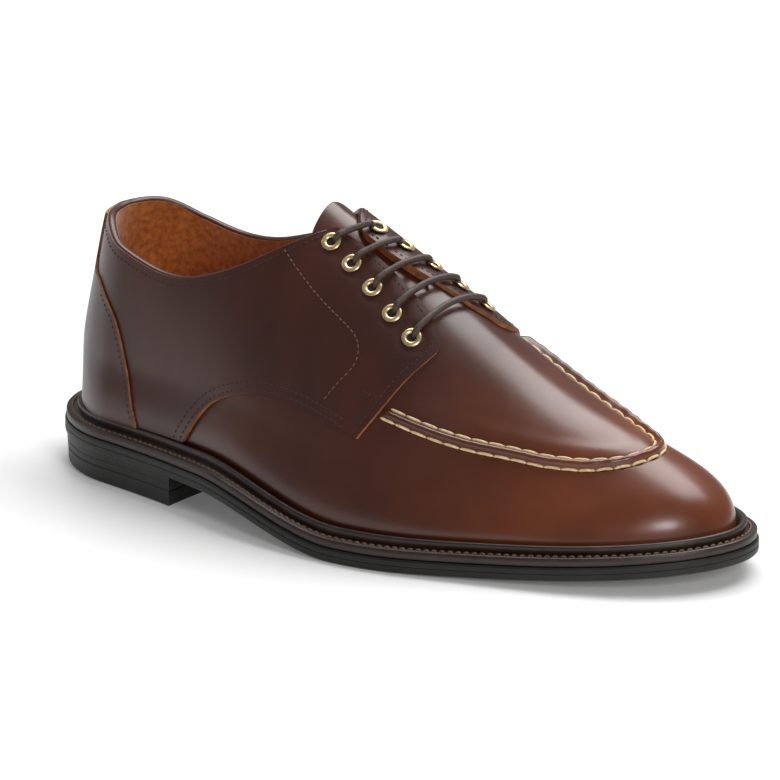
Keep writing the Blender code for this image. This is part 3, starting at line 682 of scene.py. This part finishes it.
def leather(name, dark, light, roughness, coat, toe=None, grain=0.12):
    """Smooth waxed leather: mottled, with fine grain and a soft finish."""
    material, tree, shader = nodes_of(name)
    cloud = noise(tree, 34, 3.0, 0.5, (1, 1, 0.6))
    colour = ramp(tree, cloud, ((0.3, dark), (0.72, light)))
    if toe:
        lit = ramp(tree, cloud, ((0.3, toe[0]), (0.72, toe[1])))
        colour = blend(tree, along_shoe(tree, 175, 272), colour, lit)
    tree.links.new(colour, shader.inputs["Base Color"])
    rough = add(tree, "MapRange", {"To Min": roughness - 0.05, "To Max": roughness + 0.07})
    tree.links.new(noise(tree, 120, 4.0), rough.inputs["Value"])
    tree.links.new(rough.outputs["Result"], shader.inputs["Roughness"])
    put(shader, {"Coat Weight": coat, "Coat Roughness": 0.22, "Specular IOR Level": 0.45})
    bumps(tree, shader, ((noise(tree, 2600, 3.0), grain, 0.12), (noise(tree, 210, 3.0), 0.1, 0.35)))
    return material


def plain(name, dark, light, scale, roughness, grain=0.3, grain_scale=1500, sheen=0.0, metallic=0.0):
    material, tree, shader = nodes_of(name)
    tree.links.new(ramp(tree, noise(tree, scale), ((0.3, dark), (0.7, light))), shader.inputs["Base Color"])
    put(shader, {"Roughness": roughness, "Metallic": metallic, "Sheen Weight": sheen})
    bumps(tree, shader, ((noise(tree, grain_scale, 5.0), grain, 0.25),))
    return material


def rubber(name, dark, light, under_dark, under_light):
    """Sole rubber: near black on its dressed edge, brown-grey and matt underneath."""
    material, tree, shader = nodes_of(name)
    edge = ramp(tree, noise(tree, 90), ((0.3, dark), (0.7, light)))
    under = ramp(tree, noise(tree, 45), ((0.3, under_dark), (0.7, under_light)))
    face = add(tree, "NewGeometry", {})
    split = add(tree, "SeparateXYZ", {})
    down = add(tree, "MapRange", {"From Min": -0.3, "From Max": -0.8})
    tree.links.new(face.outputs["True Normal"], split.inputs["Vector"])
    tree.links.new(split.outputs["Z"], down.inputs["Value"])
    tree.links.new(blend(tree, down.outputs["Result"], edge, under), shader.inputs["Base Color"])
    put(shader, {"Roughness": 0.5, "Specular IOR Level": 0.35})
    bumps(tree, shader, ((noise(tree, 1400, 4.0), 0.2, 0.2), (noise(tree, 160, 2.0), 0.12, 0.5)))
    return material


quarter_leather = leather("quarter_leather", (0.031, 0.0066, 0.0036), (0.06, 0.0118, 0.0056), 0.38, 0.14)
vamp_leather = leather(
    "vamp_leather", (0.042, 0.0082, 0.0033), (0.072, 0.0145, 0.005), 0.32, 0.28,
    toe=((0.105, 0.0205, 0.004), (0.17, 0.037, 0.0068)),
)
binding_leather = leather("binding_leather", (0.04, 0.0095, 0.0055), (0.07, 0.016, 0.008), 0.38, 0.1)
raw_edge = plain("raw_edge", (0.19, 0.065, 0.022), (0.4, 0.16, 0.06), 300, 0.65)
suede = plain("lining_suede", (0.3, 0.075, 0.01), (0.62, 0.19, 0.03), 420, 0.95, 0.8, 1300, 0.3)
sock_leather = plain("sock_leather", (0.17, 0.055, 0.015), (0.26, 0.09, 0.028), 60, 0.6, 0.25, 900)
cream_thread = plain("cream_thread", (0.6, 0.42, 0.21), (0.85, 0.67, 0.41), 800, 0.7, 0.4, 5000)
brown_thread = plain("brown_thread", (0.03, 0.013, 0.01), (0.055, 0.022, 0.016), 800, 0.7, 0.3, 5000)
pale_thread = plain("pale_thread", (0.12, 0.058, 0.035), (0.2, 0.105, 0.065), 800, 0.7, 0.3, 5000)
welt_thread = plain("welt_thread", (0.12, 0.058, 0.03), (0.24, 0.125, 0.07), 800, 0.7, 0.3, 5000)
lace_cord = plain("lace_cord", (0.036, 0.018, 0.013), (0.07, 0.038, 0.028), 600, 0.5, 0.5, 3800)
brass = plain("eyelet_brass", (0.55, 0.4, 0.2), (0.74, 0.57, 0.33), 300, 0.33, 0.1, 2500, metallic=0.8)
# Near-black colour for the disc inside each eyelet: painted shade standing in for the dark inside of the
# hole
hole_painted_shade = plain("eyelet_hole_painted_shade", (0.006, 0.004, 0.003), (0.01, 0.006, 0.005), 300, 0.8)
welt_rubber = plain("welt_rubber", (0.014, 0.0062, 0.0042), (0.03, 0.013, 0.0082), 160, 0.42, 0.3, 1500)
sole_rubber = rubber(
    "sole_rubber", (0.0065, 0.006, 0.0055), (0.013, 0.012, 0.0108),
    (0.055, 0.045, 0.038), (0.085, 0.07, 0.06),
)
lined_leathers = [vamp_leather, suede, raw_edge]
panel_leathers = [quarter_leather, quarter_leather, raw_edge]


# Upper: vamp, apron and lining as one wall, with the raised seam
SEAM_WIDE, SEAM_TALL, SEAM_SHARP = 1.6, (2.35, 2.9), 3.0
SEAM_LEAD, SEAM_RAMP = 2.0, 5.5
TALL_END, TALL_RUN = 12, 40
STITCH_ROW, STITCH_PITCH, PUCKER = 2.15, 6.3, 0.05
CREASE_DEPTH, CREASE_OUT, CREASE_WIDE, CREASE_BEAT = 0.3, 0.1, 0.75, 0.35
PLUMP_TALL, PLUMP_PLACE, PLUMP_WIDE = 0.35, 6.5, 3.0
SEAM_ZONE, ZONE_ROWS, ROWS_BELOW, ROWS_ABOVE = 4.2, 22, 17, 24
FINE_STATIONS = np.concatenate([
    np.linspace(STATION_BACK, HEEL_FAN, 19),
    np.arange(43.0, THROAT_END - 1, 3.0),
    np.arange(THROAT_END, TOE_FAN - 0.5, 1.5),
    np.linspace(TOE_FAN, STATION_TOE, 56),
])


def seam_share(station, inner):
    return SEAM_SHARE[SEAM_COLUMNS[2 if inner else 1]](np.maximum(station, SEAM[0][0]))


def seam_run(inner):
    """Distance along the seam from the toe's tip, for a run of stations."""
    stations = np.linspace(SEAM[0][0], STATION_TOE, 300)
    points = on_form(stations, seam_share(stations, inner), inner)[0]
    steps = np.linalg.norm(np.diff(points, axis=0), axis=1)
    return stations, np.concatenate([np.cumsum(steps[::-1])[::-1], [0]])


def fine_rows(station, inner):
    """Shares up one fine rib: close together over the seam."""
    girth = float(girth_at(station, inner))
    top = 1.0 if station > THROAT_END - 0.5 else facing_top(station, inner)
    low, seam = GAP / girth, float(seam_share(station, inner))
    zone = np.linspace(-SEAM_ZONE, SEAM_ZONE, ZONE_ROWS) / girth
    below = np.linspace(low, seam + zone[0], ROWS_BELOW)[:-1]
    above = crowded(seam + zone[-1], max(top, seam + 0.1), ROWS_ABOVE)[1:]
    seamed = np.concatenate([below, seam + zone, above])
    even_rows = crowded(low, top, len(seamed))
    return even_rows + (seamed - even_rows) * smooth((station - PLAIN_END) / (SEAMED_START - PLAIN_END))


def seam_lift(station, share, inner, run):
    """Height of the raised seam, puckered by its stitches."""
    girth = girth_at(station, inner)
    off = (share - seam_share(station, inner)) * girth
    beat = np.cos(2 * math.pi * np.interp(station, run[0], run[1]) / STITCH_PITCH)
    taller = smooth((STATION_TOE - TALL_END - station) / TALL_RUN)
    tall = SEAM_TALL[0] + (SEAM_TALL[inner] - SEAM_TALL[0]) * taller
    ridge = tall * (1 + PUCKER * beat) * np.exp(-((np.abs(off) / SEAM_WIDE) ** SEAM_SHARP))
    from_crease = (np.abs(off) - STITCH_ROW - CREASE_OUT) / CREASE_WIDE
    crease = CREASE_DEPTH * (1 - CREASE_BEAT * beat) * np.exp(-(from_crease**2))
    plump = PLUMP_TALL * np.exp(-(((off - PLUMP_PLACE) / PLUMP_WIDE) ** 2))
    start = SEAM_STARTS[1 if inner else 0] - SEAM_LEAD
    return (ridge - crease + plump) * smooth((station - start) / SEAM_RAMP)


def make_upper():
    outers, walls = [], []
    for inner in (False, True):
        shares = np.array([fine_rows(u, inner) for u in FINE_STATIONS])
        stations = np.repeat(FINE_STATIONS[:, None], shares.shape[1], 1)
        lift = seam_lift(stations, shares, inner, seam_run(inner))
        outers.append(on_form(stations, shares, inner, lift)[0])
        wall = on_form(stations, shares, inner, -WALL)[0]
        wall[:, 0, 2] = outers[-1][:, 0, 2]
        walls.append(wall)
    count, levels = outers[0].shape[:2]
    ids = [np.arange(count * levels).reshape(count, levels) + side * count * levels for side in (0, 1)]
    closed = FINE_STATIONS > THROAT_END - 0.5
    pole = int(np.argmax(FINE_STATIONS >= TOE_FAN - 0.01))
    ids[0][pole:, -1] = ids[0][pole, -1]
    ids[1][closed, -1] = ids[0][closed, -1]
    ids[1][0], ids[1][-1] = ids[0][0], ids[0][-1]
    faces = grid_faces(ids[0]) + [face[::-1] for face in grid_faces(ids[1])]
    outer, wall = (np.concatenate([grid.reshape(-1, 3) for grid in grids]) for grids in (outers, walls))
    build("vamp_and_lining", [walled(outer, wall, faces)], lined_leathers, PANEL_SMOOTH, ["upper"])


# Quarters and counter
PANEL_INSIDE, PANEL_ROWS, PANEL_BEVEL = 0.1, 44, 0.35
DENT_DEPTH, DENT_RADIUS, DENT_WIDE = 0.45, 4.4, 1.3
SEAT_DEPTH, SEAT_RADIUS = 0.2, 3.2
COUNTER_FOOT, COUNTER_ROWS, SHARE_CLEAR = 0.6, 40, 0.004


def fine_between(first, last, step):
    return np.linspace(first, last, int((last - first) / step) + 2)


def make_quarter(inner):
    last = shoe_station(QUARTER_END, inner)
    front = shoe_station(FRONT_EDGE[0][0], inner)
    stations = np.concatenate([
        fine_between(STATION_BACK + 0.15, front, 2.2)[:-1],
        front + (last - front) * (1 - (1 - np.linspace(0, 1, 26)) ** 1.6),
    ])
    lows = [quarter_low(u, float(girth_at(u, inner)), inner) for u in stations]
    tops = [facing_top(u, inner) for u in stations]
    shares = np.array([crowded(low, top, PANEL_ROWS) for low, top in zip(lows, tops)])
    places = np.repeat(stations[:, None], shares.shape[1], 1)
    dent = eyelet_dents(places, shares, inner)
    outer = on_form(places, shares, inner, QUARTER_FACE - dent)[0]
    wall = on_form(places, shares, inner, PANEL_INSIDE)[0]
    name = "quarter_medial" if inner else "quarter_lateral"
    piece = build(name + "_leather", [sheet_solid(outer, wall)], panel_leathers, PANEL_SMOOTH, [name])
    soften(piece, PANEL_BEVEL)


def eyelet_dents(stations, shares, inner):
    """How far the leather is pressed in under and round each eyelet."""
    girth = girth_at(stations, inner)
    dent = np.zeros(stations.shape)
    for pair in EYELETS:
        u, share = pair[1 if inner else 0]
        away = np.hypot(stations - u, (shares - share) * girth)
        ring = DENT_DEPTH * np.exp(-(((away - DENT_RADIUS) / DENT_WIDE) ** 2))
        dent = np.maximum(dent, ring + SEAT_DEPTH * (away < SEAT_RADIUS))
    return dent


def counter_top(station, inner):
    """Share of the counter's upper edge: just under the topline at the back, then its own curve."""
    if station < COUNTER_NECK + 0.1:
        return facing_top(station, inner) - SHARE_CLEAR
    return float(COUNTER_SHARE(station))


def make_counter():
    lift = QUARTER_FACE + PANEL_INSIDE
    edge_first, edge_last = COUNTER_EDGE[0][0], COUNTER_EDGE[-1][0]
    back = fine_between(STATION_BACK, COUNTER_NECK, 2.0)
    stations = np.concatenate([back, fine_between(edge_first, edge_last, 1.8)])
    sides = []
    for inner in (False, True):
        base = (STORM_RISE + COUNTER_FOOT) / girth_at(stations, inner)
        tops = [max(counter_top(u, inner), low + SHARE_CLEAR) for u, low in zip(stations, base)]
        shares = np.array([np.linspace(low, top, COUNTER_ROWS) for low, top in zip(base, tops)])
        places = np.repeat(stations[:, None], COUNTER_ROWS, 1)
        outer = on_form(places, shares, inner, lift + COUNTER_THICK)[0]
        sides.append((outer, on_form(places, shares, inner, lift)[0]))
    outer, wall = (np.concatenate([sides[1][k][:0:-1], sides[0][k]]) for k in (0, 1))
    parts = [sheet_solid(outer, wall)]
    piece = build("counter_leather", parts, panel_leathers, PANEL_SMOOTH, ["heel_counter"])
    soften(piece, PANEL_BEVEL)


BINDING_WIDE, BINDING_TALL = 1.45, 0.95


def make_binding():
    """The rolled edge of the topline, from one facing round the heel to the other."""
    paths = []
    for inner in (False, True):
        stations = np.arange(STATION_BACK, shoe_station(COLLAR_END + 1.5, inner), 1.5)
        tops = np.array([facing_top(u, inner) for u in stations])
        paths.append(on_form(stations, tops, inner, -0.1))
    points, normals = (np.concatenate([paths[0][k][::-1], paths[1][k][1:]]) for k in (0, 1))
    points, normals = even(points, normals, 2.0)
    ends_fade = np.minimum(np.arange(len(points)), np.arange(len(points))[::-1])
    shrink = 0.35 + 0.65 * smooth(ends_fade / 3.0)
    up = unit(np.array([0, 0, 1.0]) - normals * normals[:, 2:])
    roll = tube(points, up, BINDING_WIDE * shrink, BINDING_TALL * shrink, CORD_SIDES)
    build("topline_binding", [(*roll, 0)], [binding_leather])


def make_tongue():
    stations = np.linspace(0, 1, 40)
    spread = np.linspace(-1, 1, 33)
    widths = curve_through(TONGUE)
    start = TONGUE[0][0] - 0.3 + 6.0 * np.abs(spread) ** 3.5
    places = start + (TONGUE[-1][0] - start) * stations[:, None]
    offsets = spread * widths(np.maximum(places, TONGUE[1][0]))
    swell = 0.5 * np.exp(-((stations[:, None] / 0.05) ** 2))
    outer = across_top(places, offsets, -TONGUE_DROP + 0.7 + swell)[0]
    wall = across_top(places, offsets, -TONGUE_DROP - TONGUE_THICK + 0.2)[0]
    piece = build("tongue_leather", [sheet_solid(outer, wall)], lined_leathers, PANEL_SMOOTH, ["tongue"])
    soften(piece, 0.4)


# Eyelets and lace
def ring_of(point, normal, profile, sides=36):
    """A turned ring from radius and height pairs."""
    along = np.cross(normal, (0.0, -1.0, 0.0))
    along /= np.linalg.norm(along)
    side = np.cross(normal, along)
    sections = []
    for angle in np.linspace(0, 2 * math.pi, sides, endpoint=False):
        out = along * math.cos(angle) + side * math.sin(angle)
        sections.append(np.array([point + out * radius + normal * up for radius, up in profile]))
    return torus(sections)


EYELET_PROFILE = (
    (1.75, -0.9), (3.4, -0.3), (3.65, 0), (3.6, 0.25),
    (3.25, 0.52), (2.7, 0.62), (2.1, 0.48), (1.75, 0.15),
)
# The disc set into each eyelet's hole, coloured near black: painted shade for the hole's dark inside
HOLE_SHADE_PROFILE = ((0.01, -0.2), (2.2, -0.2), (2.2, -0.7), (0.01, -0.7))
LACE_OVER, LACE_LOW, LACE_DIP, DIP_RUN = 0.9, 0.5, 0.4, 3.4


def make_eyelets():
    for number, pair in enumerate(EYELETS, 1):
        for inner, side in ((False, "lateral"), (True, "medial")):
            point, normal = on_form(*pair[inner], inner, QUARTER_FACE + 0.2)
            ring = ring_of(point, normal, EYELET_PROFILE)
            # The disc in the hole is painted shade: near black where the hole's inside is in shadow
            hole_shade_disc = ring_of(point, normal, HOLE_SHADE_PROFILE)
            name = f"eyelet_{side}_{number}"
            build(name + "_brass", [(*ring, 0), (*hole_shade_disc, 1)], [brass, hole_painted_shade], 40, [name])


def make_laces():
    for number, ((u_outer, share_outer), (u_inner, share_inner)) in enumerate(EYELETS, 1):
        start = -(1 - share_outer) * float(girth_at(u_outer, False))
        end = (1 - share_inner) * float(girth_at(u_inner, True))
        step = np.linspace(0, 1, 41)
        over = QUARTER_FACE + LACE_OVER + LACE_RADIUS
        low = QUARTER_FACE + LACE_LOW + LACE_RADIUS
        bow = low + (over - low) * smooth(3.5 * np.abs(2 * step - 1) - 1.0)
        dip = np.minimum(step, 1 - step) * (end - start)
        lift = bow - (over + LACE_DIP) * (1 - smooth(dip / DIP_RUN))
        offset = start + (end - start) * step
        points, normals = across_top(u_outer + (u_inner - u_outer) * step, offset, lift)
        points, normals = even(points, normals, 0.5)
        cord = tube(points, normals, LACE_RADIUS, LACE_RADIUS * 0.95, CORD_SIDES)
        build(f"lace_{number}", [(*cord, 0)], [lace_cord], PANEL_SMOOTH, [f"lace_bar_{number}"])


# Stitching: a thread is its pitch, the share of it that shows, its radius and how proud it stands
HAND_THREAD = (STITCH_PITCH, 0.95, 0.56, 0.45)
WELT_THREAD = (3.0, 0.72, 0.42, 0.22)
SOLE_THREAD = (3.4, 0.7, 0.32, 0.12)


def seam_stitches():
    parts = []
    for side in (-1, 1):
        paths = []
        for inner in (False, True):
            first = shoe_station(174.5 if side < 0 else 177.5, inner) + (2.0 if inner else 0.0)
            stations = np.linspace(first, STATION_TOE, 300)
            share = seam_share(stations, inner) + side * STITCH_ROW / girth_at(stations, inner)
            paths.append(on_form(stations, share, inner, -0.1))
        points, normals = (np.concatenate([paths[0][k], paths[1][k][::-1][1:]]) for k in (0, 1))
        parts.append((*stitches(points, normals, *HAND_THREAD, 8), 0))
    build("apron_hand_stitches", parts, [cream_thread])


EYESTAY = (
    (117.5, 0.795), (127.9, 0.76), (139.2, 0.73), (151.3, 0.705),
    (158.4, 0.672), (160.3, 0.62), (156.6, 0.53), (149.9, 0.405),
)
FACING_ROW = (
    (167, 0.385), (171, 0.47), (175, 0.575), (179.2, 0.685), (182.6, 0.79), (181.4, 0.85),
    (176.5, 0.89), (168.5, 0.92), (156, 0.953), (146, 0.965), (134, 0.962),
)
ARC_RISES, ARC_END = (0.014, 0.04), (164.5, 0.358)
SLANT, SLANT_END, SLANT_RUN = 60, 84, 20
TACK, TACK_COUNT, TACK_STEP = ((166.3, 0.507), (167.7, 0.549)), 4, 0.8


def panel_row(path, inner, lift, thread, slot=0, step=1.0):
    """A row of stitches over the quarter's face, or as far above it as lift says."""
    return (*stitches(*on_panel(path, inner, QUARTER_FACE + lift, step), *thread), slot)


def panel_stitches():
    dark, pale = [], []
    for inner in (False, True):
        for rise in ARC_RISES:
            arc = []
            for u, s in QUARTER_ARC[:-1]:
                back = SLANT * rise * (1 - smooth((u - SLANT_END) / SLANT_RUN))
                arc.append((u - back, s + rise))
            arc.append((ARC_END[0], ARC_END[1] + rise))
            dark.append(panel_row(arc, inner, -0.12, (2.5, 0.6, 0.24, 0.2)))
        pale.append(panel_row(EYESTAY, inner, -0.1, (2.3, 0.6, 0.22, 0.2), 1))
        dark.append(panel_row(FACING_ROW, inner, -0.1, (2.3, 0.6, 0.2, 0.15)))
        topline = [(u, s - 0.024) for u, s in COLLAR[1:]]
        dark.append(panel_row(topline, inner, -0.1, (2.3, 0.6, 0.22, 0.18)))
        edge = [(u - 1.5, s - 0.006) for u, s in COUNTER_EDGE[3:]]
        dark.append(panel_row(edge, inner, COUNTER_THICK, (2.3, 0.6, 0.2, 0.14)))
        for k in range(TACK_COUNT):
            bar = [(u + TACK_STEP * k, s) for u, s in TACK]
            dark.append(panel_row(bar, inner, -0.05, (2.2, 0.9, 0.26, 0.25), 0, 0.2))
    build("panel_stitches", dark + pale, [brown_thread, pale_thread])


# Sole
def fine_x(inset, reaches):
    heel_end, toe_end = ends(inset, reaches)
    heel = HEEL_CAP - (HEEL_CAP - heel_end) * np.cos(np.linspace(0, math.pi / 2, 22))
    toe = TOE_CAP + (toe_end - TOE_CAP) * np.sin(np.linspace(0, math.pi / 2, 34))
    return np.concatenate([heel, np.linspace(HEEL_CAP, TOE_CAP, 62)[1:-1], toe])


def fine_outline(inset, reaches, height):
    x = fine_x(inset, reaches)
    half = np.clip(half_width(x, inset, reaches), 0, None)
    z = sole_bottom(x) + height
    outer = np.stack([x, centre(x) - half, z], 1)
    inner = np.stack([x, centre(x) + half, z], 1)
    return np.concatenate([outer, inner[-2:0:-1]])


WELT_STITCH_INSET = 3.0
WELT_SIDE = (
    (WELT_EDGE + 0.35, 0), (WELT_EDGE, 0.4), (WELT_EDGE - 0.05, 1.6),
    (WELT_EDGE, 2.9), (WELT_EDGE + 0.35, 3.25),
)
STORM_PROFILE = (
    (0, 3.7), (0.15, 3.35), (1.2, 3.2), (2.6, 3.1), (3.4, 2.7),
    (3.75, 2), (3.6, 1.2), (3.1, 0.5), (0, 0.35),
)


def make_welt():
    low, flat = OUTSOLE_THICK + 0.05, OUTSOLE_THICK + WELT_THICK
    foot = fine_outline(0.0, 1.0, flat)
    loops = [fine_outline(inset, 0.0, low + up) for inset, up in WELT_SIDE]
    for height, stand in STORM_PROFILE:
        raised = foot + np.array([0, 0, height])
        loops.append(pushed(raised, stand + swell_at(foot, height)))
    loops += [fine_outline(WELT_INSIDE, 1.0, flat), fine_outline(WELT_INSIDE, 1.0, low)]
    ring = torus([np.array(section) for section in zip(*loops)])
    build("storm_welt", [(*ring, 0)], [welt_rubber], PANEL_SMOOTH, ["welt"])
    path = fine_outline(WELT_STITCH_INSET, 0.0, flat)
    path = np.concatenate([path, path[:1]])
    up = np.tile((0.0, 0.0, 1.0), (len(path), 1))
    build("welt_stitches", [(*stitches(path, up, *WELT_THREAD), 0)], [welt_thread])


SOLE_GROOVE, GROOVE_DEPTH, GROOVE_START = 5.2, 0.6, 92
OUTSOLE_EDGE = (
    (SOLE_GROOVE + 0.7, 0), (SOLE_GROOVE + 0.5, GROOVE_DEPTH),
    (SOLE_GROOVE - 0.5, GROOVE_DEPTH), (SOLE_GROOVE - 0.7, 0), (0.7, 0),
    (0.15, 0.5), (0, 1.2), (0, 2.5), (0.25, 2.75), (0, 3), (0, 4.5), (0.4, 5.15),
)
STUD_PROFILE = (
    (7.8, -1), (7.8, 0.3), (7.5, 1.3), (6.7, 1.3), (6.3, 0.35),
    (5.6, 0.35), (5.2, 1), (4.2, 1), (3.8, 0.3), (0.01, 0.3),
)
STUD_SIDES, CUTTER_BELOW = 32, 2.0


def stud_cutters(studs, underside):
    """Turned cutters: a deep ring, a lip, a shallow ring and a low middle."""
    turn = np.linspace(0, 2 * math.pi, STUD_SIDES, endpoint=False)
    cutters = []
    for x, y in studs:
        rings = []
        for radius, depth in STUD_PROFILE:
            px, py = x + radius * np.cos(turn), y + radius * np.sin(turn)
            below = np.full(STUD_SIDES, float(np.min(underside(px))) - CUTTER_BELOW)
            level = underside(px) + depth if depth > 0 else below
            rings.append(np.stack([px, py, level], 1))
        cutters.append(loft(rings))
    return joined(cutters)


def carve(piece, studs, underside):
    """Cuts the studs out of a sole piece and leaves the result in its mesh."""
    cutter = build("cutter", [(*stud_cutters(studs, underside), 0)], [sole_rubber])
    boolean = piece.modifiers.new("studs", "BOOLEAN")
    boolean.operation = "DIFFERENCE"
    boolean.object = cutter
    bpy.context.view_layer.update()
    graph = bpy.context.evaluated_depsgraph_get()
    carved = bpy.data.meshes.new_from_object(piece.evaluated_get(graph))
    piece.modifiers.clear()
    piece.data = carved
    carved.set_sharp_from_angle(angle=math.radians(30))
    bpy.data.objects.remove(cutter)


def make_outsole():
    rings = [fine_outline(inset, 0.0, up) for inset, up in OUTSOLE_EDGE]
    count = len(rings[0])
    faces = strips(count, 0, True) + strips(count, (len(rings) - 1) * count, False)
    for k in range(len(rings) - 1):
        faces += band(k * count, (k + 1) * count, count)
    solid = (np.concatenate(rings), faces, 0)
    piece = build("studded_outsole", [solid], [sole_rubber], SOLE_SMOOTH, ["outsole"])
    carve(piece, FOREPART_STUDS, sole_bottom)
    path = fine_outline(SOLE_GROOVE, 0.0, GROOVE_DEPTH + 0.02)
    path = path[path[:, 0] > GROOVE_START]
    cut = int(np.argmax(np.linalg.norm(np.diff(path, axis=0), axis=1))) + 1
    path = np.concatenate([path[cut:], path[:cut]])
    down = np.tile((0.0, 0.0, -1.0), (len(path), 1))
    build("outsole_stitches", [(*stitches(path, down, *SOLE_THREAD), 0)], [welt_thread])


HEEL_STACK = ((0.5, 6.15), (0.2, 6.5), (0.1, 8.6), (0.3, 8.85), (0.1, 9.1), (0, HEEL_LIFT - 0.05))
HEEL_RUBBER = ((1.2, 0), (0.7, 0.4), (0.5, 1), (0.3, 5.5), (0.6, 5.95))


def fine_heel(inset, height):
    start = HEEL_SETBACK + inset
    loop = []
    for side, breast in ((-1, BREAST_OUTER), (1, BREAST_INNER)):
        x = HEEL_CAP - (HEEL_CAP - start) * np.cos(np.linspace(0, math.pi / 2, 30))
        x = np.concatenate([x, np.linspace(HEEL_CAP, breast - inset, 14)[1:]])
        half = np.clip(half_width(x, start), 0, None)
        loop.append(np.stack([x, centre(x) + side * half, np.full_like(x, height)], 1))
    outer, inner = loop
    step = np.linspace(0, 1, 25)[1:-1, None]
    breast = outer[-1] + (inner[-1] - outer[-1]) * step
    breast[:, 0] -= BREAST_HOLLOW * 4 * (step * (1 - step))[:, 0]
    return np.concatenate([outer, breast, inner[:0:-1]])


def heel_part(name, rings, node):
    solid = loft([fine_heel(inset, height) for inset, height in rings])
    return build(name, [(*solid, 0)], [sole_rubber], SOLE_SMOOTH, [node])


def make_heel():
    heel_part("heel_stack", HEEL_STACK, "heel_base")
    piece = heel_part("heel_top_rubber", HEEL_RUBBER, "heel_top_piece")
    carve(piece, HEEL_STUDS, np.zeros_like)


make_upper()
for side in (False, True):
    make_quarter(side)
make_counter()
make_binding()
make_tongue()
make_eyelets()
make_laces()
seam_stitches()
panel_stitches()
make_welt()
make_outsole()
make_heel()
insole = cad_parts["insole"].data
insole.materials.clear()
insole.materials.append(sock_leather)

# Floor, light and camera
floor_material, _, floor_shader = nodes_of("studio_floor")
put(floor_shader, {"Base Color": (0.9, 0.9, 0.9, 1.0), "Roughness": 0.3, "Specular IOR Level": 0.25})
put(floor_shader, {"Emission Color": (1.0, 1.0, 1.0, 1.0), "Emission Strength": 0.1})
bpy.ops.mesh.primitive_plane_add(size=12.0, location=(0, 0, -0.0002))
floor = bpy.context.object
floor.name = "floor"
floor.data.materials.append(floor_material)

world = bpy.data.worlds.new("studio")
bpy.context.scene.world = world
world.use_nodes = True
put(world.node_tree.nodes["Background"], {"Color": (1.0, 1.0, 1.0, 1.0), "Strength": 0.22})
bpy.context.scene.view_settings.view_transform = "Standard"


def area_light(name, place, target, size, power):
    """An area light, places and sizes in metres and power in watts."""
    light = bpy.data.lights.new(name, "AREA")
    light.shape = "RECTANGLE"
    light.size, light.size_y = size
    light.energy = power
    lamp = bpy.data.objects.new(name, light)
    lamp.location = place
    lamp.rotation_euler = (Vector(target) - Vector(place)).to_track_quat("-Z", "Y").to_euler()
    bpy.context.scene.collection.objects.link(lamp)


area_light("overhead_soft", (-0.05, 0.55, 1.15), (0, 0, 0), (1.5, 0.8), 23)
area_light("toe_side_soft", (1.1, -0.75, 0.6), (0.12, 0, 0.02), (0.35, 0.35), 7)
area_light("heel_side_soft", (-1.1, -0.15, 0.4), (-0.12, 0, 0.04), (0.3, 0.6), 0.9)

CAMERA_AZIMUTH, CAMERA_ELEVATION = math.radians(32.817), math.radians(14.488)
CAMERA_DISTANCE, PHOTO_LENS, FRAME_ZOOM = 2.444, 206.3, 1.5
SENSOR_WIDTH, PHOTO_WIDTH = 36.0, 780.0
TARGET = Vector(((150.0 + SHIFT[0]) * MM, SHIFT[1] * MM, 0.03))
TARGET_PIXEL = (223.7, 549.2)
back = Vector((
    math.sin(CAMERA_AZIMUTH) * math.cos(CAMERA_ELEVATION),
    -math.cos(CAMERA_AZIMUTH) * math.cos(CAMERA_ELEVATION),
    math.sin(CAMERA_ELEVATION),
))
right = (-back).cross(Vector((0, 0, 1))).normalized()
up = right.cross(-back)
pixels = PHOTO_LENS / SENSOR_WIDTH * PHOTO_WIDTH
across, down = ((pixel - PHOTO_WIDTH / 2) / pixels for pixel in TARGET_PIXEL)
ray = right * across - up * down - back
place = TARGET - ray.normalized() * CAMERA_DISTANCE
camera_data = bpy.data.cameras.new("camera")
camera_data.lens = PHOTO_LENS * FRAME_ZOOM
camera = bpy.data.objects.new("camera", camera_data)
camera.location = place
AIM = Vector((0.002, 0.0, 0.048))
camera.rotation_euler = (AIM - place).to_track_quat("-Z", "Y").to_euler()
bpy.context.scene.collection.objects.link(camera)
bpy.context.scene.camera = camera
